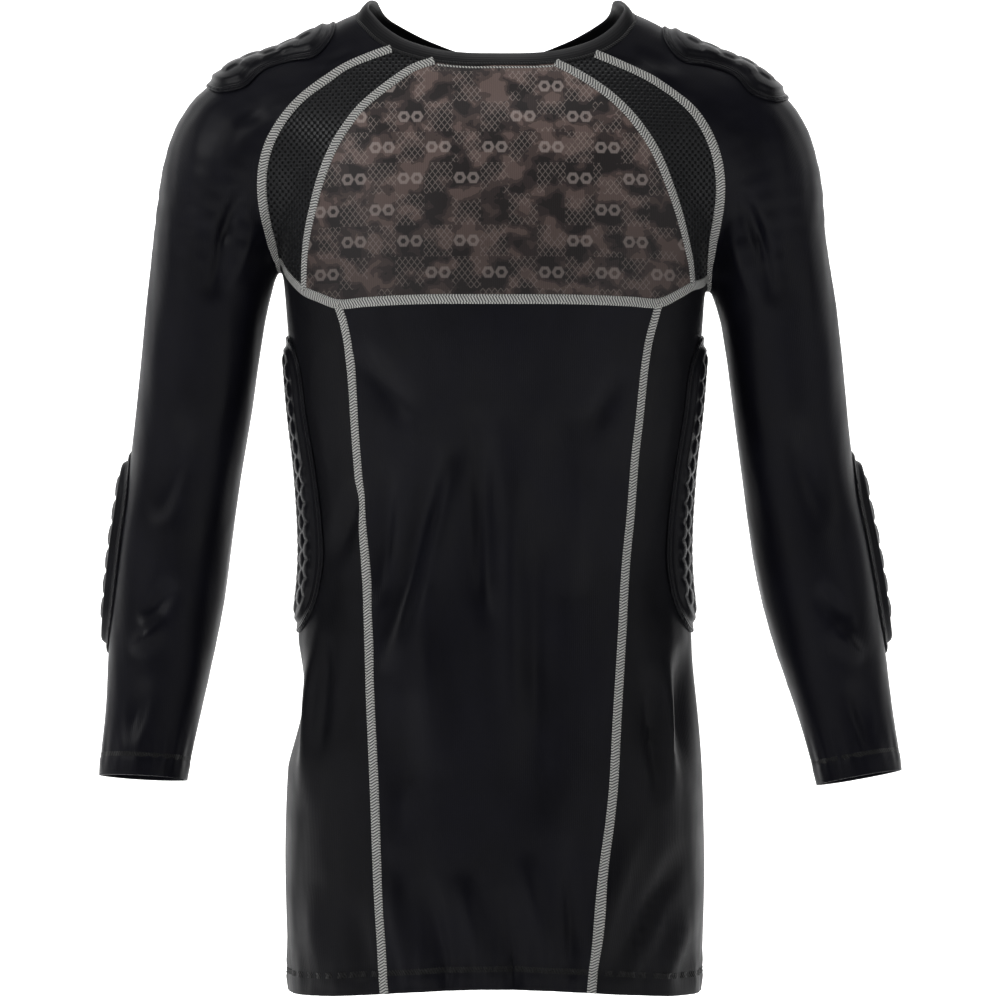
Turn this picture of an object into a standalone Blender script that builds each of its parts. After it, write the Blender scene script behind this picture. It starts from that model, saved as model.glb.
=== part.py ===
# Padded compression shirt: long raglan sleeves, a printed chest panel between two
# net panels, side panels, a neckband, and six pads of raised hexagonal foam cells.
# It is filled out as if worn, hollow, and open at neck, hem and cuffs.
#
# Frame: +Z up, the front faces -Y, +X is the wearer's left. The origin lies between
# the shoulders, at the height where the shirt rests on them.
# Heights, widths and depths below are in millimetres; MM turns them into metres.

import math

import bmesh
import bpy
import numpy as np
from mathutils import Vector
from mathutils.geometry import delaunay_2d_cdt

MM = 0.001

# Walls and gaps
CLOTH_WALL = 1.4
HEM_WALL = 2.4
BAND_WALL = 2.2
SEAM_GAP = 0.3
HEM_TURN = 15.0

# Overall heights
HEM_SIDE = -727.0
HEM_FRONT_RISE = 13.0
HEM_RISE_ACROSS = 120.0
HEM_RISE_DEPTH = 90.0

# Line under the arm: looked for from below, between two distances from the middle
ARMPIT_FORE = 12.0
ARMPIT_ACROSS = (154.0, 172.0)
ARMPIT_TRIES = 37
ARMPIT_BELOW = -260.0
ARMPIT_CLIMB = 120.0
ARMPIT_EASE = 5.0
ARMPIT_CORNER = 0.05

# Torso sections: how wide and deep the shirt stands at each height
TORSO_COLUMNS = ("height", "half_width", "front_depth", "back_depth")
TORSO = (
    (60, 66, 46, 58),
    (30, 69, 49, 61),
    (18, 77, 52, 65),
    (10, 88, 52, 67),
    (4, 104, 53, 69),
    (-4, 121, 55, 72),
    (-16, 141, 59, 77),
    (-27, 156, 63, 82),
    (-37, 167, 67, 88),
    (-48, 177, 73, 93),
    (-63, 184, 80, 98),
    (-85, 184, 91, 103),
    (-115, 176, 101, 108),
    (-150, 166, 109, 111),
    (-190, 159, 114, 111),
    (-235, 155, 113, 107),
    (-290, 150.5, 108, 100),
    (-345, 144.5, 103, 96),
    (-405, 142, 101, 97),
    (-460, 147, 103, 102),
    (-515, 152, 106, 109),
    (-570, 155.5, 108, 114),
    (-625, 157, 109, 115),
    (-680, 156, 109.5, 114),
    (-750, 153, 109, 112),
)
SECTION_POWER = 2.15

# Sleeve sections: centre and half width of the tube at each height, one row a section
SLEEVE_COLUMNS = ("height", "across", "fore", "half_width")
SLEEVE_RIGHT = (
    (-82, -173, 8, 51),
    (-96, -184, 8, 56),
    (-112, -192, 7, 56),
    (-135, -200, 6, 53),
    (-165, -207.5, 5, 49),
    (-195, -213, 5, 46.3),
    (-220, -217, 5, 45),
    (-285, -225, 6, 43.5),
    (-335, -232, 8, 42),
    (-395, -241, 9, 42.5),
    (-430, -245, 7, 42),
    (-465, -249.5, 3, 40),
    (-510, -255, -5, 36),
    (-555, -261, -14, 33.2),
    (-600, -266, -23, 31),
)
SLEEVE_LEFT = (
    (-83, 169, 8, 50.5),
    (-98, 181, 8, 55),
    (-112, 187.5, 7, 54.5),
    (-135, 194.5, 6, 52),
    (-165, 200, 5, 48.3),
    (-195, 207.3, 5, 45.5),
    (-220, 213, 5, 44),
    (-285, 221, 6, 42.5),
    (-335, 227, 8, 42),
    (-395, 237.5, 9, 44),
    (-430, 244, 7, 43.5),
    (-465, 251, 3, 41),
    (-510, 260.5, -5, 36),
    (-555, 269.5, -14, 32.5),
    (-600, 277.5, -23, 30.5),
)
SLEEVE_DEPTH = 1.07
ARM_TOP = -222.0
CUFF_HEIGHT = -567.0
CUFF_TILT = {"right": 3.0, "left": 10.0}
CUFF_LEAN = 7.0

# How softly the sleeves run into the body, from the shoulder down to the armpit
BLEND_SHOULDER = 34.0
BLEND_ARMPIT = 9.0
BLEND_TOP = -105.0
BLEND_LOW = -190.0

# Neck seam: height against the angle from the front centre
NECK_COLUMNS = ("angle", "height")
NECK = (
    (0, -40.5),
    (21, -40),
    (34, -38),
    (44, -34),
    (52, -28.5),
    (59, -20.5),
    (67, -9),
    (78, 2.5),
    (90, 6),
    (105, 4),
    (120, -5),
    (140, -18),
    (160, -27),
    (180, -30),
)
NECK_ACROSS = 4.0
NECK_FORE = 4.0
BAND_WIDTH = 12.0
BAND_RISE = 51.0
BAND_SWELL = (0.0, 0.5, -0.2)
NET_TOP_ANGLE = {"right": 35.0, "left": 30.0}
RAGLAN_FRONT_ANGLE = {"right": 53.0, "left": 48.0}
RAGLAN_BACK_ANGLE = 118.0

# Seams seen from the front. Each pair is a distance out from the middle, and a height.
RAGLAN_FRONT = {
    "right": ((91, -31), (108, -40), (121, -48), (137, -59), (153, -76), (164, -93),
              (170.5, -113), (172, -131), (170.5, -148), (167, -165), (163, -180)),
    "left": ((97, -38), (113, -49), (129, -59), (144, -72), (157, -91),
             (164, -110), (166.5, -130), (165, -150), (162.5, -165), (160.5, -180)),
}
NET_INNER = {
    "right": ((62, -44), (78, -56), (94, -69), (106, -83), (118, -102), (126, -121),
              (132, -141), (137, -161), (140, -180), (141, -206)),
    "left": ((58, -46), (74, -56), (89, -68), (105, -86), (118, -106), (127, -127),
             (135, -149), (141, -171), (145, -190), (146, -202)),
}
CHEST_SEAM_SIDE = {"right": (115.0, -217.0), "left": (120.0, -216.0)}
CHEST_SEAM_MIDDLE = -215.0
BODY_SEAM_FRONT = {
    "right": ((109, -235), (106.5, -254), (104, -280), (102, -314), (99, -350), (96.5, -385),
              (93.5, -430), (91, -500), (87.5, -578), (84.5, -650), (82, -690)),
    "left": ((113, -241), (109.5, -262), (106, -297), (102, -332), (99.5, -367), (96, -403),
             (93, -455), (89, -519), (85.5, -578), (78, -636), (73, -686)),
}
BODY_SEAM_HEM = {"right": 80.0, "left": 70.0}

# Seams at the back, alike on both sides
RAGLAN_BACK = ((83, -24), (104, -46), (124, -74), (141, -106), (153, -138), (160, -168))
BODY_SEAM_BACK = ((148, -205), (131, -219), (119, -242), (113, -275), (109, -320), (105, -380),
                  (101, -440), (98, -520), (96, -600), (94, -680))
BODY_SEAM_BACK_HEM = 93.0

# Main folds. Each row: the side it shows on, where it starts (across, height), where it ends
# (across, height), its half width, and how far it lifts the cloth; a negative lift is a trough.
FOLDS = (
    ("front", -42, -325, -76, -460, 13, -3.4),
    ("front", -80, -345, -88, -440, 12, -2.4),
    ("front", -20, -300, -30, -420, 14, 1.8),
    ("front", 24, -380, 28, -600, 15, 2.0),
    ("front", -8, -330, -6, -460, 12, -1.8),
    ("front", -104, -255, -62, -300, 12, -2.2),
    ("front", -118, -470, -126, -570, 11, -2.8),
    ("front", 112, -470, 120, -575, 11, -2.8),
    ("front", -60, -610, -74, -700, 12, 2.2),
    ("front", -12, -640, -18, -712, 11, 2.0),
    ("front", 36, -620, 46, -705, 12, 2.2),
    ("front", 88, -610, 104, -700, 12, 2.0),
    ("back", -62, -330, -34, -470, 15, -3.0),
    ("back", 58, -340, 30, -480, 15, -3.0),
    ("back", 0, -300, 4, -420, 16, 2.0),
    ("back", -48, -600, -58, -700, 13, 2.2),
    ("back", 52, -600, 64, -700, 13, 2.2),
)

# Foam pads: cells are measured flat to flat, and stand over a thin sewn rim
CELL_GROOVE = 2.6
CELL_SLOPE = 0.22
CELL_MARGIN = 0.82
PAD_RIM = 1.3
RIM_SPACING = 0.75
RIB_PAD = {"pitch": 14.0, "height": 5.0, "rest": 0.9, "flange": 3.5, "under": "centres"}
ELBOW_PAD = {"pitch": 18.0, "height": 7.4, "rest": 1.2, "flange": 3.5, "under": "corners"}
SHOULDER_PAD = {"pitch": 17.0, "height": 5.2, "rest": 1.6, "flange": 2.0, "under": "corners"}

# Pad outlines in their own plane: up is along the garment, across is to the front
RIB_OUTLINE = ((-50, 84), (-36, 104), (0, 111), (30, 106), (44, 88), (47, 50), (50, 10),
               (53, -30), (53, -66), (46, -92), (28, -108), (0, -111), (-34, -106),
               (-50, -88), (-53, -40), (-53, 30))
RIB_MIDDLE = -348.0
RIB_INSIDE = 30.0
RIB_WRAP = 1.05
RIB_REACH = 200.0
ELBOW_OUTLINE = ((-22, 66), (0, 73), (22, 70), (36, 48), (40, 12), (39, -26), (34, -56),
                 (22, -76), (0, -80), (-24, -72), (-38, -40), (-42, 8), (-38, 42))
ELBOW_MIDDLE = -396.0
ELBOW_TURN = 28.0
ELBOW_REACH = 90.0
SHOULDER_OUTLINE = ((-53, 0), (-50, 33), (-32, 45), (-10, 39), (8, 38), (26, 46), (46, 38),
                    (54, 0), (48, -40), (28, -52), (8, -43), (-8, -43), (-28, -50), (-48, -36))

# The shoulder pads lie round a short axis, from its inner to its outer end
SHOULDER_AXIS = {"right": ((-99, 6, -50), (-203, 6, -90)), "left": ((106, 6, -54), (206, 6, -94))}
SHOULDER_RADIUS = 44.0
SHOULDER_TURN = -1.0
SHOULDER_REACH = 120.0

# Rows and columns of the walls
ROWS_YOKE = 13
ROWS_BODY = 20
BODY_GRADE = 1.25
ROWS_ARM = 14
COLUMNS_UNDERARM = 1
COLUMNS_NET = 3
COLUMNS_CHEST_SIDE = 2
COLUMNS_FRONT = 10
COLUMNS_BACK = 10
COLUMNS_SLEEVE = 14

# A line is followed to the cloth in steps, then halved; the slope is read a short way round a point
VIEW_DISTANCE = 200.0
CAST_REACH = 350.0
MARCH_STEP = 7.0
HALVINGS = 18
SLOPE_REACH = 0.4
WALL_REACH = 4.0
SETTLE_ROUNDS = 7
LEAST_SLOPE = 0.05

# Of a rim's two corners, the one further this way is where its cut into triangles starts
RIM_WAY = np.array([0.31, 0.53, 0.79])
SHARP_EDGE = 40.0
SIDES = {"right": -1.0, "left": 1.0}

# Colours (linear), roughness and metallic value of each kind of cloth
FINISHES = {
    "jersey": ((0.012, 0.012, 0.015, 1.0), 0.62, 0.0),
    "side_jersey": ((0.010, 0.010, 0.013, 1.0), 0.62, 0.0),
    "printed": ((0.075, 0.052, 0.045, 1.0), 0.6, 0.0),
    "net": ((0.008, 0.008, 0.009, 1.0), 0.8, 0.0),
    "band": ((0.010, 0.010, 0.012, 1.0), 0.7, 0.0),
    "pad": ((0.016, 0.016, 0.019, 1.0), 0.55, 0.0),
}


# Curves

def knot_slopes(knots, values):
    steps = np.diff(knots)
    rates = np.diff(values, axis=0) / steps.reshape((-1,) + (1,) * (values.ndim - 1))
    slopes = np.empty_like(values)
    slopes[0] = rates[0]
    slopes[-1] = rates[-1]
    slopes[1:-1] = 0.5 * (rates[:-1] + rates[1:])
    return slopes


def smooth_read(knots, values, wanted):
    # A curve through the knots with no corner in it, read at each wanted place.
    knots = np.asarray(knots, float)
    values = np.asarray(values, float)
    wanted = np.clip(wanted, knots[0], knots[-1])
    slopes = knot_slopes(knots, values)
    place = np.clip(np.searchsorted(knots, wanted) - 1, 0, len(knots) - 2)
    step = knots[place + 1] - knots[place]
    t = (wanted - knots[place]) / step
    if values.ndim > 1:
        t = t[:, None]
        step = step[:, None]
    start = values[place] * (2 * t ** 3 - 3 * t ** 2 + 1)
    end = values[place + 1] * (3 * t ** 2 - 2 * t ** 3)
    lead = slopes[place] * step * (t ** 3 - 2 * t ** 2 + t)
    tail = slopes[place + 1] * step * (t ** 3 - t ** 2)
    return start + end + lead + tail


def spread(points, count, grade=1.0):
    # count + 1 places on a smooth curve through the points. A grade over 1 sets the first ones closer.
    points = np.asarray(points, float)
    reach = np.concatenate([[0.0], np.cumsum(np.linalg.norm(np.diff(points, axis=0), axis=1))])
    fine = smooth_read(reach, points, np.linspace(0.0, reach[-1], 40 * len(points)))
    walked = np.concatenate([[0.0], np.cumsum(np.linalg.norm(np.diff(fine, axis=0), axis=1))])
    even = walked[-1] * np.linspace(0.0, 1.0, count + 1) ** grade
    return np.stack([np.interp(even, walked, fine[:, axis]) for axis in range(points.shape[1])], axis=1)


def table_column(table, columns, name):
    return np.array([row[columns.index(name)] for row in table], float)


# The filled-out form: negative inside the cloth's outer face, zero on it

torso_order = np.argsort(table_column(TORSO, TORSO_COLUMNS, "height"))
torso_heights = table_column(TORSO, TORSO_COLUMNS, "height")[torso_order] * MM
torso_sizes = np.array([row[1:] for row in TORSO], float)[torso_order] * MM


def torso_field(points):
    across = np.abs(points[:, 0]) + 1e-6
    fore = points[:, 1]
    half, front, back = smooth_read(torso_heights, torso_sizes, points[:, 2]).T
    depth = np.where(fore < 0.0, front, back)
    total = (across / half) ** SECTION_POWER + (np.abs(fore) / depth) ** SECTION_POWER
    ratio = total ** (1.0 / SECTION_POWER)
    return np.hypot(across, fore) * (1.0 - 1.0 / ratio)


def sleeve_axis(table):
    heights = table_column(table, SLEEVE_COLUMNS, "height")
    order = np.argsort(heights)
    rows = np.array([(row[1], row[2], row[0], row[3]) for row in table], float)[order] * MM
    return heights[order] * MM, rows


sleeve_axes = {"right": sleeve_axis(SLEEVE_RIGHT), "left": sleeve_axis(SLEEVE_LEFT)}


def sleeve_field(points, side):
    heights, rows = sleeve_axes[side]
    marks = smooth_read(heights, rows, np.sort(np.append(heights, 0.5 * (heights[:-1] + heights[1:]))))
    flat = points / np.array([1.0, SLEEVE_DEPTH, 1.0])
    centres = marks[:, :3] / np.array([1.0, SLEEVE_DEPTH, 1.0])
    nearest = np.full(len(points), 1e9)
    for low, high, thin, thick in zip(centres[:-1], centres[1:], marks[:-1, 3], marks[1:, 3]):
        run = high - low
        along = np.clip((flat - low) @ run / (run @ run), 0.0, 1.0)
        away = np.linalg.norm(flat - low - along[:, None] * run, axis=1)
        nearest = np.minimum(nearest, away - (thin + along * (thick - thin)))
    return nearest


def soft_join(first, second, softness):
    share = np.clip(0.5 + 0.5 * (second - first) / softness, 0.0, 1.0)
    return second + (first - second) * share - softness * share * (1.0 - share)


def fold_lift(points):
    lift = np.zeros(len(points))
    for side, x0, z0, x1, z1, width, height in FOLDS:
        facing = points[:, 1] < 0.0 if side == "front" else points[:, 1] > 0.0
        start = np.array([x0, z0]) * MM
        run = np.array([x1 - x0, z1 - z0]) * MM
        flat = points[:, (0, 2)] - start
        along = flat @ run / (run @ run)
        off = np.abs(flat @ np.array([-run[1], run[0]])) / np.linalg.norm(run)
        fade = np.clip(1.0 - (2.0 * np.clip(along, 0.0, 1.0) - 1.0) ** 4, 0.0, 1.0)
        fade = np.where((along > 0.0) & (along < 1.0), fade, 0.0)
        lift += np.where(facing, height * MM * fade * np.exp(-((off / (width * MM)) ** 2)), 0.0)
    return lift


def body_field(points):
    fall = np.clip((points[:, 2] / MM - BLEND_LOW) / (BLEND_TOP - BLEND_LOW), 0.0, 1.0)
    fall = fall * fall * (3.0 - 2.0 * fall)
    softness = (BLEND_ARMPIT + (BLEND_SHOULDER - BLEND_ARMPIT) * fall) * MM
    joined = torso_field(points)
    for side in ("right", "left"):
        near = points[:, 0] < 0.0 if side == "right" else points[:, 0] >= 0.0
        joined[near] = soft_join(joined[near], sleeve_field(points[near], side), softness[near])
    return joined - fold_lift(points)


def outward(points, reach=SLOPE_REACH * MM):
    # The field's slope: it points straight out of the cloth.
    slope = np.empty_like(points)
    for axis in range(3):
        shift = np.zeros(3)
        shift[axis] = reach
        slope[:, axis] = (body_field(points + shift) - body_field(points - shift)) / (2.0 * reach)
    return slope


def settle(points, level=False):
    # Moves points that lie near the cloth onto its outer face, level points without a change of height.
    points = points.copy()
    for _ in range(SETTLE_ROUNDS):
        slope = outward(points)
        if level:
            slope[:, 2] = 0.0
        steepness = np.maximum((slope ** 2).sum(axis=1), LEAST_SLOPE)
        points -= slope * (body_field(points) / steepness)[:, None]
    return points


def cast(starts, directions, reach=CAST_REACH * MM):
    # The first place along each line where the field changes its sign.
    starts = np.asarray(starts, float)
    marches = int(reach / (MARCH_STEP * MM))
    directions = directions / np.linalg.norm(directions, axis=1)[:, None]
    before = body_field(starts)
    near = np.zeros(len(starts))
    far = np.full(len(starts), reach)
    found = np.zeros(len(starts), bool)
    for mark in np.linspace(0.0, reach, marches + 1)[1:]:
        now = body_field(starts + directions * mark)
        crossed = ~found & (now * before <= 0.0)
        far[crossed] = mark
        near[crossed] = mark - reach / marches
        found |= crossed
    for _ in range(HALVINGS):
        middle = 0.5 * (near + far)
        beyond = body_field(starts + directions * middle[:, None]) * before <= 0.0
        far = np.where(beyond, middle, far)
        near = np.where(beyond, near, middle)
    return starts + directions * (0.5 * (near + far))[:, None]


# Seams on the form

def seen_from(view, flat):
    # Points given across and up, laid on the front or the back of the form.
    flat = np.asarray(flat, float) * MM
    fore = (-VIEW_DISTANCE if view == "front" else VIEW_DISTANCE) * MM
    starts = np.stack([flat[:, 0], np.full(len(flat), fore), flat[:, 1]], axis=1)
    return cast(starts, np.tile([0.0, -math.copysign(1.0, fore), 0.0], (len(flat), 1)))


def neck_points(angles):
    knots = table_column(NECK, NECK_COLUMNS, "angle")
    heights = smooth_read(knots, table_column(NECK, NECK_COLUMNS, "height"), np.abs(angles)) * MM
    turn = np.radians(angles)
    centre = np.tile([NECK_ACROSS * MM, NECK_FORE * MM, 0.0], (len(angles), 1))
    starts = centre + np.outer(heights, [0.0, 0.0, 1.0])
    ways = np.stack([np.sin(turn), -np.cos(turn), np.zeros(len(angles))], axis=1)
    return cast(starts, ways)


def signed(rows, side):
    return [(SIDES[side] * across, height) for across, height in rows]


def armpit_curve(side, fore):
    # The line under the arm, where the sleeve leaves the body: the highest places seen from below.
    tries = np.linspace(*ARMPIT_ACROSS, ARMPIT_TRIES) * SIDES[side] * MM
    line = []
    for y in fore:
        starts = np.array([(x, y, ARMPIT_BELOW * MM) for x in tries])
        found = cast(starts, np.tile([0.0, 0.0, 1.0], (ARMPIT_TRIES, 1)), ARMPIT_CLIMB * MM)
        line.append(found[np.argmax(found[:, 2])])
    return np.array(line)


def make_seams(side):
    seams = {}
    sign = SIDES[side]
    reach = ARMPIT_FORE * MM
    under_front = armpit_curve(side, np.linspace(0.0, -reach, COLUMNS_UNDERARM + 1))
    under_back = armpit_curve(side, np.linspace(0.0, reach, COLUMNS_UNDERARM + 1))

    neck_front = neck_points(np.array([sign * RAGLAN_FRONT_ANGLE[side]]))
    neck_back = neck_points(np.array([sign * RAGLAN_BACK_ANGLE]))
    neck_net = neck_points(np.array([sign * NET_TOP_ANGLE[side]]))

    front = seen_from("front", signed(RAGLAN_FRONT[side], side))
    front = settle(spread(np.vstack([neck_front, front[1:], under_front[-1:]]), ROWS_YOKE))
    back = seen_from("back", signed(RAGLAN_BACK, side))
    back = settle(spread(np.vstack([neck_back, back, under_back[-1:]]), ROWS_YOKE))
    inner = seen_from("front", signed(NET_INNER[side], side))
    inner = settle(spread(np.vstack([neck_net, inner]), ROWS_YOKE))

    # From the neck down to the line under the arm; that line runs from its middle.
    seams["raglan_front"] = front
    seams["raglan_back"] = back
    seams["net_inner"] = inner
    seams["under_front"] = under_front
    seams["under_back"] = under_back

    # The seam below the chest, from the armpit inwards.
    corner = seen_from("front", signed([CHEST_SEAM_SIDE[side]], side))
    seams["chest_net"] = settle(spread(np.vstack([front[-1:], inner[-1:]]), COLUMNS_NET))
    seams["chest_side"] = settle(spread(np.vstack([inner[-1:], corner]), COLUMNS_CHEST_SIDE))

    # Down the body to the hem.
    hem_front = hem_points([sign * BODY_SEAM_HEM[side]], "front")
    hem_back = hem_points([sign * BODY_SEAM_BACK_HEM], "back")
    down_front = seen_from("front", signed(BODY_SEAM_FRONT[side], side))
    down_back = seen_from("back", signed(BODY_SEAM_BACK, side))
    down_front = spread(np.vstack([corner, down_front, hem_front]), ROWS_BODY, BODY_GRADE)
    down_back = spread(np.vstack([back[-1:], down_back, hem_back]), ROWS_BODY, BODY_GRADE)
    seams["body_front"] = settle(down_front, level=True)
    seams["body_back"] = settle(down_back, level=True)
    return seams


def hem_height(points):
    # The hem is level at the sides and back, and rides up a little at the front.
    across = points[:, 0] / (HEM_RISE_ACROSS * MM)
    front = np.clip(-points[:, 1] / (HEM_RISE_DEPTH * MM), 0.0, 1.0)
    return (HEM_SIDE + HEM_FRONT_RISE * front * np.exp(-across ** 2)) * MM


def hem_points(across, view):
    rows = [(x, HEM_SIDE) for x in across]
    points = seen_from(view, rows)
    points[:, 2] = hem_height(points)
    return settle(points, level=True)


# Panels

def patch(top, bottom, start, end, view=None):
    # A grid between four edges that share their corners, laid on the form.
    # A panel that can be seen whole from one side is laid on it from that view.
    rows = len(start)
    columns = len(top)
    u = np.linspace(0.0, 1.0, columns)[None, :, None]
    v = np.linspace(0.0, 1.0, rows)[:, None, None]
    grid = (1 - v) * top[None] + v * bottom[None]
    grid = grid + (1 - u) * (start[:, None] - grid[:, :1]) + u * (end[:, None] - grid[:, -1:])
    inside = grid[1:-1, 1:-1].reshape(-1, 3)
    inside = settle(inside) if view is None else seen_from(view, inside[:, (0, 2)] / MM)
    grid[1:-1, 1:-1] = inside.reshape(rows - 2, columns - 2, 3)
    return grid


def edge_pull(edge, inner, ways):
    # Half a seam gap, square to the edge and along the cloth.
    square = np.cross(np.gradient(edge, axis=0), ways)
    square /= np.linalg.norm(square, axis=1)[:, None]
    side = math.copysign(1.0, ((inner - edge) * square).sum())
    return square * (side * 0.5 * SEAM_GAP * MM)


def grid_outward(grid):
    # The way through the wall, read over a wider reach so that it turns gently in the armpit.
    ways = outward(grid.reshape(-1, 3), WALL_REACH * MM)
    ways /= np.linalg.norm(ways, axis=1)[:, None]
    return ways.reshape(grid.shape)


def draw_in(grid, ways, edges, bend=0):
    # bend is the row where the start and end edges turn a corner, if they do.
    moved = grid.copy()
    if "top" in edges:
        moved[0] += edge_pull(grid[0], grid[1], ways[0])
    if "bottom" in edges:
        moved[-1] += edge_pull(grid[-1], grid[-2], ways[-1])
    stretches = [slice(0, bend + 1), slice(bend, None)] if bend else [slice(None)]
    for rows in stretches:
        if "start" in edges:
            moved[rows, 0] += edge_pull(grid[rows, 0], grid[rows, 1], ways[rows, 0])
        if "end" in edges:
            moved[rows, -1] += edge_pull(grid[rows, -1], grid[rows, -2], ways[rows, -1])
    return ease_corners(grid, moved)


def ease_corners(grid, moved):
    # Where three or four walls meet under the arm, each corner stands back a little more.
    for seams in body_seams.values():
        for corner in (seams["under_front"][-1], seams["under_back"][-1]):
            here = np.linalg.norm(grid - corner, axis=2) < ARMPIT_CORNER * MM
            moved[here] = grid[here] + ARMPIT_EASE * (moved[here] - grid[here])
    return moved


def add_object(name, mesh_builder, finish):
    if mesh_builder.calc_volume(signed=True) < 0.0:
        bmesh.ops.reverse_faces(mesh_builder, faces=mesh_builder.faces)
    mesh = bpy.data.meshes.new(name)
    mesh_builder.normal_update()
    mesh_builder.to_mesh(mesh)
    mesh_builder.free()
    part = bpy.data.objects.new(name, mesh)
    shirt.objects.link(part)
    material = bpy.data.materials.get(finish) or new_material(finish)
    mesh.materials.append(material)
    mesh.shade_smooth()
    mesh.set_sharp_from_angle(angle=math.radians(SHARP_EDGE))
    return part


def new_material(finish):
    colour, roughness, metallic = FINISHES[finish]
    material = bpy.data.materials.new(finish)
    material.use_nodes = True
    shader = material.node_tree.nodes["Principled BSDF"]
    shader.inputs["Base Color"].default_value = colour
    shader.inputs["Roughness"].default_value = roughness
    shader.inputs["Metallic"].default_value = metallic
    material.diffuse_color = colour
    return material


def build_wall(name, outer, ways, thickness, finish, cells=None, joined=None):
    # A closed wall: the outer grid, the same grid moved in, and a rim round its free edges.
    # cells tells which meshes of the grid are there; joined tells the rows whose two ends are one point.
    rows, columns = outer.shape[:2]
    inner = outer - ways * thickness[..., None]
    if cells is None:
        cells = np.ones((rows - 1, columns - 1), bool)
    if joined is None:
        joined = np.zeros(rows, bool)
    builder = bmesh.new()
    corners = {}

    def corner(row, column, skin):
        key = (row, 0 if joined[row] and column == columns - 1 else column, skin)
        if key not in corners:
            corners[key] = builder.verts.new((outer if skin == 0 else inner)[row, key[1]])
        return corners[key]

    edges = {}
    for row, column in zip(*np.nonzero(cells)):
        places = ((row, column), (row, column + 1), (row + 1, column + 1), (row + 1, column))
        builder.faces.new([corner(*place, 0) for place in places])
        builder.faces.new([corner(*place, 1) for place in reversed(places)])
        for start, end in zip(places, places[1:] + places[:1]):
            edges.setdefault(frozenset((corner(*start, 0), corner(*end, 0))), []).append((start, end))
    for uses in edges.values():
        if len(uses) == 1:
            # Rims that face each other across a seam are cut into triangles the same way.
            start, end = uses[0]
            a, b, c, d = corner(*end, 0), corner(*start, 0), corner(*start, 1), corner(*end, 1)
            if outer[start] @ RIM_WAY > outer[end] @ RIM_WAY:
                a, b, c, d = b, c, d, a
            builder.faces.new((a, b, c))
            builder.faces.new((a, c, d))
    return add_object(name, builder, finish)


def wall_depths(grid, hem_at=None):
    depth = np.full(grid.shape[:2], CLOTH_WALL * MM)
    if hem_at is not None:
        depth[hem_at] = HEM_WALL * MM
    return depth


def hem_rows(grid, bottom):
    # The last row above the hem lies at the hem's stitch line.
    grid = grid.copy()
    lift = np.array([0.0, 0.0, HEM_TURN * MM])
    grid[-2] = settle(bottom + lift, level=True)
    return grid


def make_body_panels(seams):
    right, left = seams["right"], seams["left"]

    # Chest: neck arc on top, net seams at the sides, the cross seam below.
    arc = np.linspace(-NET_TOP_ANGLE["right"], NET_TOP_ANGLE["left"],
                      COLUMNS_FRONT + 2 * COLUMNS_CHEST_SIDE + 1)
    neck_chest = neck_points(arc)
    corners = [right["chest_side"][-1] / MM, left["chest_side"][-1] / MM]
    middle = [(corners[0][0], corners[0][2]), (-60, CHEST_SEAM_MIDDLE), (0, CHEST_SEAM_MIDDLE),
              (60, CHEST_SEAM_MIDDLE), (corners[1][0], corners[1][2])]
    cross = seen_from("front", middle)
    cross = settle(spread(cross, COLUMNS_FRONT))
    cross[0] = right["chest_side"][-1]
    cross[-1] = left["chest_side"][-1]
    chest_bottom = np.vstack([right["chest_side"], cross[1:-1], left["chest_side"][::-1]])
    grid = patch(neck_chest, chest_bottom, right["net_inner"], left["net_inner"], "front")
    finish_panel("chest_panel", grid, "printed", ("top", "bottom", "start", "end"))

    # Front: from the cross seam to the hem.
    across = np.linspace(-BODY_SEAM_HEM["right"], BODY_SEAM_HEM["left"], COLUMNS_FRONT + 1)
    hem = hem_points(across, "front")
    hem[0] = right["body_front"][-1]
    hem[-1] = left["body_front"][-1]
    grid = patch(cross, hem, right["body_front"], left["body_front"], "front")
    finish_panel("front_panel", grid, "jersey", ("top", "start", "end"), hem)

    # Back: one piece from the neck to the hem.
    arc = np.linspace(360.0 - RAGLAN_BACK_ANGLE, RAGLAN_BACK_ANGLE, COLUMNS_BACK + 1)
    arc = np.where(arc > 180.0, arc - 360.0, arc)
    neck_back = neck_points(arc)
    across = np.linspace(-BODY_SEAM_BACK_HEM, BODY_SEAM_BACK_HEM, COLUMNS_BACK + 1)
    hem = hem_points(across, "back")
    hem[0] = right["body_back"][-1]
    hem[-1] = left["body_back"][-1]
    start = np.vstack([right["raglan_back"], right["body_back"][1:]])
    end = np.vstack([left["raglan_back"], left["body_back"][1:]])
    grid = patch(neck_back, hem, start, end, "back")
    finish_panel("back_panel", grid, "jersey", ("top", "start", "end"), hem, ROWS_YOKE)


def make_side_panels(side, seams):
    # Net panel: neck arc, raglan seam, net seam, and a short foot on the cross seam.
    sign = SIDES[side]
    arc = sign * np.linspace(RAGLAN_FRONT_ANGLE[side], NET_TOP_ANGLE[side], COLUMNS_NET + 1)
    grid = patch(neck_points(arc), seams["chest_net"], seams["raglan_front"], seams["net_inner"], "front")
    finish_panel("net_panel_" + side, grid, "net", ("top", "bottom", "start", "end"))

    # Side panel: from under the arm to the hem, round from the front seam to the back one.
    top = np.vstack([seams["chest_side"][::-1], seams["chest_net"][::-1][1:],
                     seams["under_front"][::-1][1:], seams["under_back"][1:]])
    columns = len(top)
    low_front = seams["body_front"][-1]
    low_back = seams["body_back"][-1]
    low = hem_round(low_front, low_back, columns)
    grid = patch(top, low, seams["body_front"], seams["body_back"])
    finish_panel("side_panel_" + side, grid, "side_jersey", ("top", "start", "end"), low)


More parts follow.
